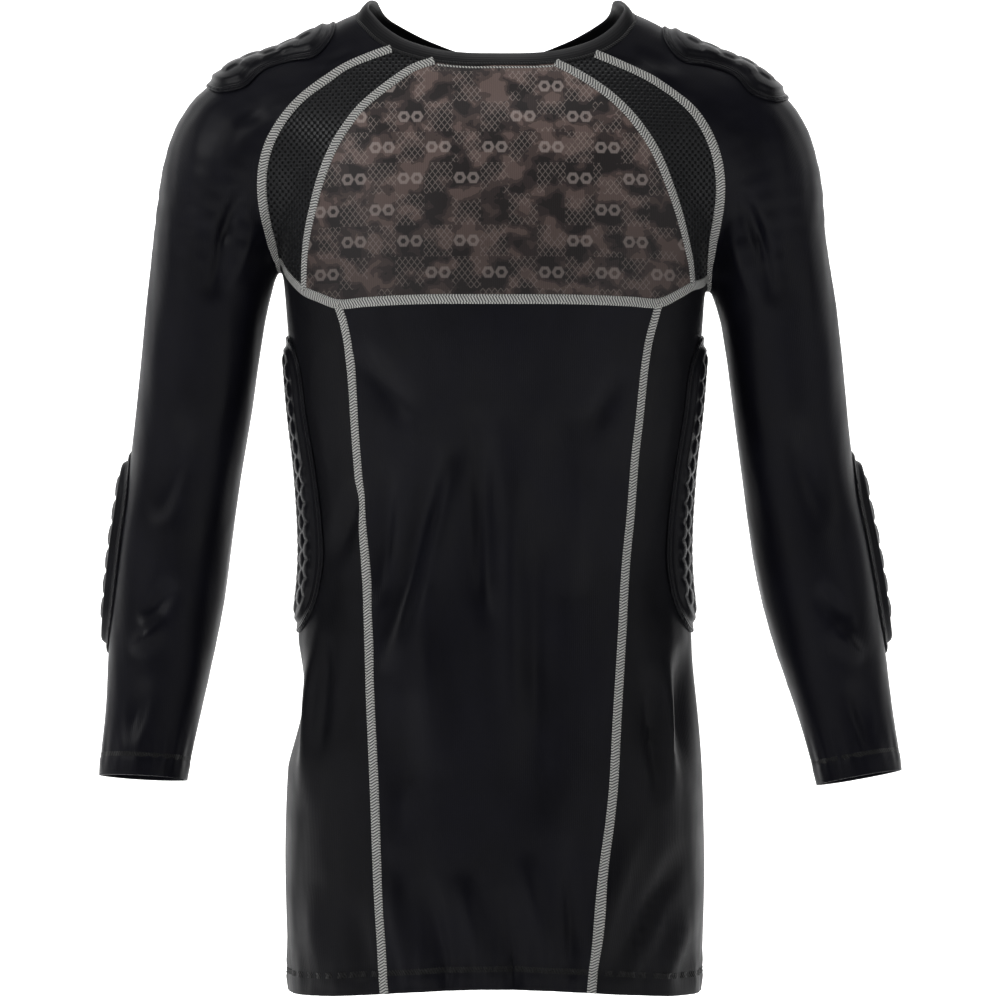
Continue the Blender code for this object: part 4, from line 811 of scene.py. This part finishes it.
def facesOut(points, faces):
    # a closed mesh whose faces look outwards holds a volume above zero
    corners = points[faces]
    first, second, third = corners[:, 0], corners[:, 1], corners[:, 2]
    volume = (first * np.cross(second, third)).sum()
    if faces.shape[1] == 4:
        volume += (first * np.cross(third, corners[:, 3])).sum()
    return volume >= 0.0


def meshPiece(name, points, faces, uvs, material, same=None):
    # faces count points before equal ones are joined; same tells which point each one is
    faces = np.asarray(faces)
    same = np.arange(len(points)) if same is None else same
    if not facesOut(points, same[faces]):
        faces = faces[:, ::-1]
    used, renamed = np.unique(same[faces], return_inverse=True)
    mesh = bpy.data.meshes.new(name)
    mesh.from_pydata(points[used].tolist(), [], renamed.reshape(faces.shape).tolist())
    layer = mesh.uv_layers.new(name="cloth")
    layer.data.foreach_set("uv", np.asarray(uvs, float)[faces].ravel())
    mesh.materials.append(material)
    mesh.shade_smooth()
    mesh.set_sharp_from_angle(angle=math.radians(clothForm["sharp"]))
    piece = bpy.data.objects.new(name, mesh)
    bpy.context.scene.collection.objects.link(piece)
    return piece


def wallFaces(rows, columns, cells, same):
    # outer faces, inner faces, and a rim along each free edge
    index = np.arange(rows * columns).reshape(rows, columns)
    a, b, c, d = index[:-1, :-1][cells], index[1:, :-1][cells], index[1:, 1:][cells], index[:-1, 1:][cells]
    outer = np.stack([a, b, c, d], axis=1)
    edges = np.concatenate([outer[:, (i, (i + 1) % 4)] for i in range(4)])
    keys = np.sort(same[edges], axis=1)
    _, first, uses = np.unique(keys, axis=0, return_index=True, return_counts=True)
    free = edges[first[uses == 1]]
    depth = rows * columns
    rim = np.stack([free[:, 1], free[:, 0], free[:, 0] + depth, free[:, 1] + depth], axis=1)
    return np.concatenate([outer, outer[:, ::-1] + depth, rim])


def softLift(points):
    # broad, shallow unevenness of stretched cloth, mostly along its length
    x, y, z = (points / mm).T
    lift = unevenForm["long"] * np.sin(x / 8.5 + 1.6 * np.sin(z / 74.0) + y / 37.0) * np.sin(z / 118.0 + x / 90.0)
    short = np.sin(z / 21.0 + 1.4 * np.sin(x / 33.0)) * np.sin(x / 47.0 + y / 29.0 + 0.8)
    return lift + unevenForm["short"] * short


def hemLift(points):
    # the turned hem stands proud of its stitch line, which gathers the cloth a little
    around = np.arctan2(points[:, 0], -points[:, 1]) * hemForm["girth"]
    above = (points[:, 2] - hemHeight(points)) / mm - hemForm["turn"]
    turned = 1.0 / (1.0 + np.exp(np.clip(above / hemForm["edge"], -30, 30)))
    line = np.exp(-(above / hemForm["lineWidth"]) ** 2)
    gather = np.exp(-(above / hemForm["gatherReach"]) ** 2)
    small = np.sin(around * 2 * math.pi / hemForm["puckerPitch"] + 2.4 * np.sin(around / 19.0))
    large = np.sin(around * 2 * math.pi / hemForm["wavePitch"] + 1.1 + np.sin(around / 41.0))
    return (turned * hemForm["proud"] - line * hemForm["line"]
            + gather * (small * hemForm["pucker"] + large * hemForm["wave"]))


def bodyLift(points):
    low = (points[:, 2] < hemForm["from"] * mm) & (np.abs(points[:, 0]) < hemForm["within"] * mm)
    lift = softLift(points)
    lift[low] += hemLift(points[low])
    return lift


def makeWall(name, grid, material, uvs=None, lift=None, depth=None, cells=None, joined=None):
    rows, columns = grid.shape[:2]
    cells = np.ones((rows - 1, columns - 1), bool) if cells is None else cells
    same = np.arange(2 * rows * columns).reshape(2, rows, columns)
    if joined is not None:
        same[:, joined, -1] = same[:, joined, 0]
    same = same.ravel()
    flat = grid.reshape(-1, 3)
    points, ways = clothFace(flat)
    raised = bodyLift(flat) if lift is None else bodyLift(flat) + lift.ravel()
    points = points + ways * (raised * mm)[:, None]
    depth = np.full(rows * columns, clothForm["wall"]) if depth is None else depth.ravel()
    inner = points - ways * (depth * mm)[:, None]
    uvs = clothUv(grid) if uvs is None else uvs
    return meshPiece(name, np.concatenate([points, inner]), wallFaces(rows, columns, cells, same[:rows * columns]),
                     np.tile(uvs.reshape(-1, 2), (2, 1)), material, same)


def hemmed(grid, bottom):
    # the row above the last one lies on the hem's stitch line
    grid = grid.copy()
    grid[-2] = settle(bottom + np.array([0.0, 0.0, hemForm["turn"] * mm]), True)
    return grid


def hemDepth(grid):
    depth = np.full(grid.shape[:2], clothForm["wall"])
    depth[-meshForm["fine"]:] = clothForm["hemWall"]
    return depth


def keep(piece, node):
    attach(piece, "root")
    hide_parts(node)
    return piece


seams = {side: makeSeams(side) for side in sides}
right, left = seams["right"], seams["left"]

# Chest panel, printed, and the front panel below it
arc = np.linspace(-neckForm["netTop"]["right"], neckForm["netTop"]["left"],
                  meshForm["front"] + 2 * meshForm["chestSide"] + 1)
corners = [right["chestSide"][-1] / mm, left["chestSide"][-1] / mm]
middle = [(corners[0][0], corners[0][2]), (-60, seamForm["chestMiddle"]), (0, seamForm["chestMiddle"]),
          (60, seamForm["chestMiddle"]), (corners[1][0], corners[1][2])]
crossSeam = settle(spreadPoints(seenFrom("front", middle), meshForm["front"]))
crossSeam[0], crossSeam[-1] = right["chestSide"][-1], left["chestSide"][-1]
chestFoot = np.vstack([right["chestSide"], crossSeam[1:-1], left["chestSide"][::-1]])
grid = patch(neckPoints(arc), chestFoot, right["netInner"], left["netInner"], "front")
bend = meshForm["chestSide"]
grid = refine(grid, (), (bend, bend + meshForm["front"]))
keep(makeWall("chest_panel_cloth", grid, printCloth, grid[..., (0, 2)] / mm),
                             "chest_panel")

hem = hemPoints(np.linspace(-seamForm["bodyFrontHem"]["right"], seamForm["bodyFrontHem"]["left"],
                            meshForm["front"] + 1), "front")
hem[0], hem[-1] = right["bodyFront"][-1], left["bodyFront"][-1]
grid = refine(hemmed(patch(crossSeam, hem, right["bodyFront"], left["bodyFront"], "front"), hem))
keep(makeWall("front_panel_cloth", grid, plainJersey, depth=hemDepth(grid)),
                             "front_panel")
print("chest and front ready")

# Back panel: one piece from the neck to the hem
arc = np.linspace(360.0 - neckForm["raglanBack"], neckForm["raglanBack"], meshForm["back"] + 1)
arc = np.where(arc > 180.0, arc - 360.0, arc)
hem = hemPoints(np.linspace(-seamForm["bodyBackHem"], seamForm["bodyBackHem"], meshForm["back"] + 1), "back")
hem[0], hem[-1] = right["bodyBack"][-1], left["bodyBack"][-1]
start = np.vstack([right["raglanBack"], right["bodyBack"][1:]])
end = np.vstack([left["raglanBack"], left["bodyBack"][1:]])
grid = refine(hemmed(patch(neckPoints(arc), hem, start, end, "back"), hem), (meshForm["yoke"],))
keep(makeWall("back_panel_cloth", grid, plainJersey, depth=hemDepth(grid)),
                            "back_panel")


# Net and side panels
def hemRound(lowFront, lowBack, columns):
    turnFront = math.atan2(-lowFront[1], abs(lowFront[0]))
    turnBack = math.atan2(-lowBack[1], abs(lowBack[0]))
    turns = np.linspace(turnFront, turnBack, columns)
    sign = math.copysign(1.0, lowFront[0])
    ways = np.stack([sign * np.cos(turns), -np.sin(turns), np.zeros(columns)], axis=1)
    points = castTo(np.tile([0.0, 0.0, seamForm["hemSide"] * mm], (columns, 1)), ways)
    points[:, 2] = hemHeight(points)
    points = settle(points, True)
    points[0], points[-1] = lowFront, lowBack
    return points


def makeSide(side):
    own, sign = seams[side], sides[side]
    arc = sign * np.linspace(neckForm["raglanFront"][side], neckForm["netTop"][side], meshForm["net"] + 1)
    grid = refine(patch(neckPoints(arc), own["chestNet"], own["raglanFront"], own["netInner"], "front"))
    net = makeWall("net_panel_%s_mesh" % side, grid, netCloth, grid[..., (0, 2)] / mm)
    keep(net, "net_panel_" + side)
    top = np.vstack([own["chestSide"][::-1], own["chestNet"][::-1][1:], own["underFront"][::-1][1:],
                     own["underBack"][1:]])
    low = hemRound(own["bodyFront"][-1], own["bodyBack"][-1], len(top))
    grid = hemmed(patch(top, low, own["bodyFront"], own["bodyBack"]), low)
    bend = meshForm["chestSide"]
    grid = refine(grid, (), (bend, bend + meshForm["net"], bend + meshForm["net"] + meshForm["under"]))
    panel = makeWall("side_panel_%s_cloth" % side, grid, sideJersey, depth=hemDepth(grid))
    keep(panel, "side_panel_" + side)


for side in sides:
    makeSide(side)
print("back, net and side panels ready")


# Sleeves
cuffForm = {"turn": 15.0, "proud": 0.5, "edge": 0.9, "line": 0.45, "lineWidth": 1.9, "gatherReach": 12.0,
            "pucker": 0.3, "puckers": 19, "wave": 0.35, "waves": 6}


def armRing(side, heights, turns):
    # points round the sleeve; a turn of 180 degrees is its inner side, 90 its front
    sign = sides[side]
    marks = readCurve(*sleeveRows[side], heights)
    top, cuff = sleeveForm["top"] * mm, sleeveForm["cuff"] * mm
    share = np.clip((top - heights) / (top - cuff), 0.0, 1.0)
    tilt = np.radians(sleeveForm["cuffTilt"][side]) * share
    lean = np.radians(sleeveForm["cuffLean"]) * share
    still = np.zeros(len(share))
    outer = np.stack([sign * np.cos(tilt), still, np.sin(tilt)], axis=1)
    front = np.stack([still, -np.cos(lean), np.sin(lean)], axis=1)
    turns = np.radians(turns)[:, None]
    ways = np.cos(turns) * outer + sleeveForm["depth"] * np.sin(turns) * front
    return settle(marks[:, :3] + marks[:, 3:] * ways)


def cuffLift(above, turns):
    # above is the height over the stitch line in mm; turns are degrees round the arm
    around = np.radians(turns)
    gather = np.exp(-(above / cuffForm["gatherReach"]) ** 2)
    turned = cuffForm["proud"] / (1.0 + np.exp(np.clip(above / cuffForm["edge"], -30, 30)))
    small = cuffForm["pucker"] * np.sin(cuffForm["puckers"] * around + 1.5 * np.sin(3 * around))
    large = cuffForm["wave"] * np.sin(cuffForm["waves"] * around + 0.7)
    return turned - cuffForm["line"] * np.exp(-(above / cuffForm["lineWidth"]) ** 2) + gather * (small + large)


def makeSleeve(side):
    # one piece from the neck to the cuff: open over the shoulder, a tube along the arm
    own, sign, under, fine = seams[side], sides[side], meshForm["under"], meshForm["fine"]
    columns = meshForm["sleeve"]
    arc = sign * np.linspace(neckForm["raglanFront"][side], neckForm["raglanBack"], columns + 1)
    girth = readCurve(*sleeveRows[side], own["underFront"][:1, 2])[0, 3]
    sideTurn = math.degrees(math.asin(seamForm["armpitFore"] * mm / (girth * sleeveForm["depth"])))
    over = np.linspace(180.0 - sideTurn, sideTurn - 180.0, columns + 1)
    below = np.linspace(180.0, 180.0 - sideTurn, under + 1)[:-1]
    turns = np.concatenate([below, over, -below[::-1]])
    top, cuff = sleeveForm["top"] * mm, sleeveForm["cuff"] * mm
    span = np.linspace(0.0, 1.0, columns + 1)
    edge = own["underFront"][-1, 2] + (own["underBack"][-1, 2] - own["underFront"][-1, 2]) * span
    ring = armRing(side, edge + (top - edge) * np.sin(math.pi * span), over)
    ring[0], ring[-1] = own["underFront"][-1], own["underBack"][-1]
    cap = patch(neckPoints(arc), ring, own["raglanFront"], own["raglanBack"])
    first = np.vstack([own["underFront"][:-1], ring, own["underBack"][:-1][::-1]])
    tube = [first]
    for share in np.linspace(0.0, 1.0, meshForm["arm"] + 1)[1:]:
        tube.append(armRing(side, first[:, 2] + (cuff + cuffForm["turn"] * mm - first[:, 2]) * share, turns))
    tube.append(armRing(side, np.full(len(turns), cuff), turns))
    grid = np.concatenate([np.pad(cap[:-1], ((0, 0), (under, under), (0, 0)), mode="edge"), np.array(tube)])
    capRows = len(cap) - 1
    cells = np.ones((len(grid) - 1, len(turns) - 1), bool)
    cells[:capRows, :under] = False
    cells[:capRows, -under:] = False
    grid = refine(grid, (capRows,), (under, under + columns))
    cells = np.kron(cells, np.ones((fine, fine), bool)).astype(bool)
    joined = np.arange(len(grid)) >= capRows * fine
    above = (len(grid) - 1 - np.arange(len(grid)))[:, None] * cuffForm["turn"] / fine - cuffForm["turn"]
    lift = cuffLift(above, np.interp(np.arange(grid.shape[1]) / fine, np.arange(len(turns)), turns)[None, :])
    keep(makeWall("sleeve_%s_cloth" % side, grid, plainJersey, lift=lift,
                                             depth=hemDepth(grid), cells=cells, joined=joined),
                                    "sleeve_" + side)


for side in sides:
    makeSleeve(side)
print("sleeves ready")

# Neckband: a folded ring that rises from the neck seam
bandForm = {"rise": 51.0, "foot": 0.2, "step": 1.0,
            "profile": [(0.0, 0.0), (2.4, 0.35), (6.0, 0.6), (9.6, 0.35), (11.3, -0.15), (12.0, -1.0),
                        (11.4, -1.95), (9.6, -2.3), (6.0, -1.95), (2.4, -1.95), (0.0, -2.2)]}


def makeNeckband(form):
    angles = np.arange(0.0, 360.0, form["step"])
    angles = np.where(angles > 180.0, angles - 360.0, angles)
    foot = neckPoints(angles)
    turn = np.radians(angles)
    out = np.stack([np.sin(turn), -np.cos(turn), np.zeros(len(turn))], axis=1)
    rise = math.radians(form["rise"])
    lean = -math.cos(rise) * out + np.array([0.0, 0.0, math.sin(rise)])
    square = math.sin(rise) * out + np.array([0.0, 0.0, math.cos(rise)])
    footWays = unit(outwardWay(foot, castForm["normalReach"] * mm))
    rings = []
    for up, off in form["profile"]:
        share = min(up / 6.0, 1.0)
        ways = unit(footWays * (1.0 - share) + square * share)
        rings.append(foot + lean * ((up + form["foot"]) * mm) + ways * (off * mm))
    count, loops = len(angles), len(rings)
    length = np.append(runLength(foot), runLength(foot)[-1] + np.linalg.norm(foot[0] - foot[-1])) / mm
    points = np.concatenate([np.vstack([ring, ring[:1]]) for ring in rings])
    places = np.arange(loops * (count + 1)).reshape(loops, count + 1)
    same = places.copy()
    same[:, -1] = same[:, 0]
    faces = []
    for row in range(loops):
        nextRow = (row + 1) % loops
        faces.append(np.stack([places[row, :-1], places[nextRow, :-1], places[nextRow, 1:], places[row, 1:]],
                              axis=1))
    uvs = np.stack([np.tile(length, loops), np.repeat(np.arange(loops) * 2.0, count + 1)], axis=1)
    piece = meshPiece("neckband_cloth", points, np.concatenate(faces), uvs[:, ::-1], bandCloth, same.ravel())
    return keep(piece, "neckband")


neckband = makeNeckband(bandForm)
print("neckband ready")


# Seams: a thread band laid over each join
seamBand = {"width": 7.0, "step": 1.5, "across": (-0.5, -0.44, -0.28, 0.0, 0.28, 0.44, 0.5),
            "height": (0.1, 0.55, 0.8, 0.66, 0.8, 0.55, 0.1), "sunk": 0.45}


def makeStrip(name, path, material, width=None, height=1.0, closed=False, raised=None):
    width = seamBand["width"] if width is None else width
    length = runLength(path)[-1] / mm
    path = settle(spreadPoints(path, max(int(length / seamBand["step"]), 8)))
    ways = unit(outwardWay(path, castForm["normalReach"] * mm))
    along = np.gradient(path, axis=0)
    if closed:
        path[-1] = path[0]
        along[0] = along[-1] = path[1] - path[-2]
        ways[-1] = ways[0]
    across = unit(np.cross(along, ways))
    shares = np.array(seamBand["across"]) * width * mm
    grid = path[:, None] + across[:, None] * shares[None, :, None]
    lift = np.tile(np.array(seamBand["height"]) * height, (len(path), 1))
    depth = lift + seamBand["sunk"]
    if raised is not None:
        places = np.linspace(0.0, 1.0, len(path))
        lift = lift + np.interp(places, np.linspace(0.0, 1.0, len(raised)), raised)[:, None]
    uvs = np.stack(np.broadcast_arrays(shares[None, :] / mm, (runLength(path) / mm)[:, None]), axis=2)
    piece = makeWall(name, grid, material, uvs, lift, depth)
    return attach(piece, "root")


for side in sides:
    for name, line in (("net", "netInner"), ("raglan", "raglanFront"), ("raglan_back", "raglanBack"),
                       ("front", "bodyFront"), ("back", "bodyBack")):
        makeStrip("%s_seam_%s" % (name, side), seams[side][line], greyThread)
halves = [np.vstack([seams[side]["underBack"][::-1], seams[side]["underFront"][1:], seams[side]["chestNet"][1:],
                     seams[side]["chestSide"][1:]]) for side in sides]
makeStrip("cross_seam", np.vstack([halves[0], crossSeam[1:-1], halves[1][::-1]]), greyThread)
print("seams ready")

# Thin pale line along the chest's neck edge, and dark cover stitch at neck, hem and cuffs
lineForm = {"paleWidth": 1.5, "paleDrop": 3.6, "neckWidth": 2.4, "hemWidth": 4.0}
arc = np.linspace(-neckForm["netTop"]["right"] + 1.5, neckForm["netTop"]["left"] - 1.5, 40)
pale = settle(neckPoints(arc) + np.array([0.0, 0.0, -lineForm["paleDrop"] * mm]))
makeStrip("chest_neck_line", pale, greyThread, lineForm["paleWidth"], 0.45)
arc = np.linspace(0.0, 360.0, 181)
neckLine = neckPoints(np.where(arc > 180.0, arc - 360.0, arc))
makeStrip("neck_line", neckLine, blackThread, lineForm["neckWidth"], 0.8, True)
turns = np.radians(np.linspace(0.0, 360.0, 241))
ways = np.stack([np.sin(turns), -np.cos(turns), np.zeros(len(turns))], axis=1)
hemLine = castTo(np.tile([0.0, 0.0, (seamForm["hemSide"] + hemForm["turn"]) * mm], (len(turns), 1)), ways)
hemLine[:, 2] = hemHeight(hemLine) + hemForm["turn"] * mm
makeStrip("hem_line", settle(hemLine, True), blackThread, lineForm["hemWidth"], 0.3, True)
for side in sides:
    turns = np.linspace(0.0, 360.0, 121)
    cuffLine = armRing(side, np.full(len(turns), (sleeveForm["cuff"] + cuffForm["turn"]) * mm), turns)
    makeStrip("cuff_line_" + side, cuffLine, blackThread, lineForm["hemWidth"], 0.3, True,
              cuffLift(np.zeros(len(turns)), turns))
print("stitch lines ready")

# Pads: foam cells under a stretched cover, over a flat sewn rim
padForms = {
    "rib": {"pitch": 14.0, "height": 5.0, "groove": 3.9, "flange": 6.5, "middle": -348.0, "inside": 30.0,
            "outline": [(-50, 84), (-36, 104), (0, 111), (30, 106), (44, 88), (47, 50), (50, 10), (53, -30),
                        (53, -66), (46, -92), (28, -108), (0, -111), (-34, -106), (-50, -88),
                        (-53, -40), (-53, 30)]},
    "elbow": {"pitch": 18.0, "height": 7.2, "groove": 5.8, "flange": 6.0, "middle": -396.0, "turn": 28.0,
              "outline": [(-22, 66), (0, 73), (22, 70), (36, 48), (40, 12), (39, -26), (34, -56), (22, -76),
                          (0, -80), (-24, -72), (-38, -40), (-42, 8), (-38, 42)]},
    "shoulder": {"pitch": 17.0, "height": 5.2, "groove": 4.3, "flange": 5.0, "turn": -1.0, "radius": 44.0,
                 "right": [(-99, 6, -50), (-203, 6, -90)], "left": [(106, 6, -54), (206, 6, -94)],
                 "outline": [(-53, 0), (-50, 33), (-32, 45), (-10, 39), (8, 38), (26, 46), (46, 38), (54, 0),
                             (48, -40), (28, -52), (8, -43), (-8, -43), (-28, -50), (-48, -36)]},
}
padShape = {"rim": 1.3, "lip": 0.8, "lipLow": 0.25, "soft": 1.7, "wall": 4.0, "crown": 0.7, "spacing": 1.6,
            "rest": 0.9, "under": 0.15, "fill": 0.85}


def ribPlace(side, form):
    sign = sides[side]

    def place(flat):
        heights = form["middle"] * mm + flat[:, 1]
        half, front, back = readCurve(torsoRows[:, 0], torsoRows[:, 1:], heights).T
        depth = np.where(flat[:, 0] > 0.0, front, back)
        turn = flat[:, 0] / (1.05 * depth)
        starts = np.stack([np.full(len(flat), sign * form["inside"] * mm), np.zeros(len(flat)), heights], axis=1)
        across = sign * (half * np.cos(turn) - form["inside"] * mm)
        ways = np.stack([across, -depth * np.sin(turn), np.zeros(len(flat))], axis=1)
        return castTo(starts, ways, 0.2)
    return place


def elbowPlace(side, form):
    sign = sides[side]

    def place(flat):
        marks = readCurve(*sleeveRows[side], form["middle"] * mm + flat[:, 1])
        turn = flat[:, 0] / marks[:, 3] - math.radians(form["turn"])
        ways = np.stack([sign * np.cos(turn), -np.sin(turn), np.zeros(len(flat))], axis=1)
        return castTo(marks[:, :3], ways, 0.09)
    return place


def shoulderPlace(side, form):
    low, high = np.array(form[side], float) * mm
    run = unit(high - low)
    middle = 0.5 * (low + high)
    up = np.cross(run, [0.0, 1.0, 0.0])
    up = up * math.copysign(1.0, up[2])

    def place(flat):
        turn = flat[:, 1] / (form["radius"] * mm) + math.radians(form["turn"])
        ways = np.cos(turn)[:, None] * up + np.sin(turn)[:, None] * np.array([0.0, -1.0, 0.0])
        return castTo(middle + flat[:, :1] * run, ways, 0.12)
    return place


def closedOutline(rows, spacing):
    rows = np.asarray(rows, float) * mm
    loop = np.vstack([rows[-2:], rows, rows[:3]])
    reach = runLength(loop)
    count = int((reach[-3] - reach[2]) / (spacing * mm))
    return readCurve(reach, loop, np.linspace(reach[2], reach[-3], count, endpoint=False))


def edgeDistance(outline, points):
    # distance of each point inwards from a closed outline, minus outside
    nearest = np.full(len(points), 1e9)
    crossings = np.zeros(len(points), int)
    for start, end in zip(outline, np.roll(outline, -1, axis=0)):
        run = end - start
        along = np.clip((points - start) @ run / (run @ run), 0.0, 1.0)
        nearest = np.minimum(nearest, np.linalg.norm(points - start - along[:, None] * run, axis=1))
        if start[1] != end[1]:
            spans = (start[1] > points[:, 1]) != (end[1] > points[:, 1])
            at = start[0] + (points[:, 1] - start[1]) / (end[1] - start[1]) * (end[0] - start[0])
            crossings += spans & (at > points[:, 0])
    return np.where(crossings % 2 == 1, nearest, -nearest)


def cellCentres(outline, form):
    # columns of hexagons, each second column half a cell lower
    pitch = form["pitch"] * mm
    step, radius = pitch * math.sqrt(3.0) / 2.0, pitch / math.sqrt(3.0)
    high = np.abs(outline).max(axis=0)
    centres = np.array([(column * step, row * pitch + (0.5 * pitch if column % 2 else 0.0))
                        for column in range(-int(high[0] / step) - 1, int(high[0] / step) + 2)
                        for row in range(-int(high[1] / pitch) - 2, int(high[1] / pitch) + 3)])
    return centres[edgeDistance(outline, centres) > form["flange"] * mm + 0.82 * radius]


def cellDepth(points, centres, pitch):
    # how far inside its cell each point lies, in mm; minus outside all of them
    best = np.full(len(points), -1e9)
    for centre in centres:
        x, y = np.abs(points - centre).T / mm
        best = np.maximum(best, 0.5 * pitch - np.maximum(0.866 * x + 0.5 * y, y))
    return best


def makePad(name, form, place, node):
    outline = closedOutline(form["outline"], padShape["spacing"])
    centres = cellCentres(outline, form)
    spacing = padShape["spacing"] * mm
    high = np.abs(outline).max(axis=0) + spacing
    xs, ys = np.arange(-high[0], high[0], spacing), np.arange(-high[1], high[1], spacing * 0.866)
    field = np.array([(x + (0.5 * spacing if row % 2 else 0.0), y) for row, y in enumerate(ys) for x in xs])
    field = field[edgeDistance(outline, field) > 0.55 * spacing]
    flat = np.vstack([outline, field])
    ring = [(i, (i + 1) % len(outline)) for i in range(len(outline))]
    spots, _, cut, _, _, _ = delaunay_2d_cdt([Vector(point) for point in flat], ring, [], 0, 1e-7, True)
    flat = np.array([tuple(spot) for spot in spots])
    cut = np.array(cut)
    cut = cut[edgeDistance(outline, flat[cut].mean(axis=1)) > 0.0]
    away = np.maximum(edgeDistance(outline, flat), 0.0) / mm
    inside = cellDepth(flat, centres, form["pitch"])
    top = form["height"] + padShape["crown"] * np.clip(inside / (0.5 * form["pitch"]), 0.0, 1.0)
    groove = form["groove"]
    swell = 1.0 - np.exp(-(np.clip(inside, 0.0, 99.0) / padShape["soft"]) ** 2)
    climb = np.clip((away - form["flange"]) / padShape["wall"], 0.0, 1.0)
    climb = climb * climb * (3.0 - 2.0 * climb)
    lift = padShape["rim"] + (groove + (top - groove) * swell - padShape["rim"]) * climb
    lip = np.clip(away / padShape["lip"], 0.0, 1.0) ** 0.5
    lift = lift * (padShape["lipLow"] + (1.0 - padShape["lipLow"]) * lip)
    face, ways = clothFace(place(flat))
    upper = face + ways * ((lift + padShape["rest"]) * mm)[:, None]
    lower = face + ways * (padShape["under"] * mm)
    count = len(flat)
    loop = np.array(ring)
    rimSides = np.stack([loop[:, 0], loop[:, 1], loop[:, 1] + count, loop[:, 0] + count], axis=1)
    faces = cut.tolist() + (cut[:, ::-1] + count).tolist()
    rim = np.concatenate([rimSides[:, (0, 3, 2)], rimSides[:, (0, 2, 1)]])
    # the rim turns with the top's own winding
    first = cut[(cut == 0).any(axis=1) & (cut == 1).any(axis=1)][0].tolist()
    if first[(first.index(0) + 1) % 3] != 1:
        rim = rim[:, ::-1]
    piece = meshPiece(name, np.concatenate([upper, lower]), np.array(faces + rim.tolist()),
                      np.tile(flat / mm, (2, 1)), padCloth)
    edge = piece.data.attributes.new("edgeDistance", "FLOAT", "POINT")
    edge.data.foreach_set("value", np.tile(away, 2))
    return keep(piece, node)


for side in sides:
    for kind, placeOn in (("rib", ribPlace), ("elbow", elbowPlace), ("shoulder", shoulderPlace)):
        padNode = "%s_pad_%s" % (kind, side)
        makePad(padNode + "_cover", padForms[kind], placeOn(side, padForms[kind]), padNode)
print("pads ready")

size = {"cad": cadBox, "visual": [list(corner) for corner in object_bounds()]}
print("size", size)
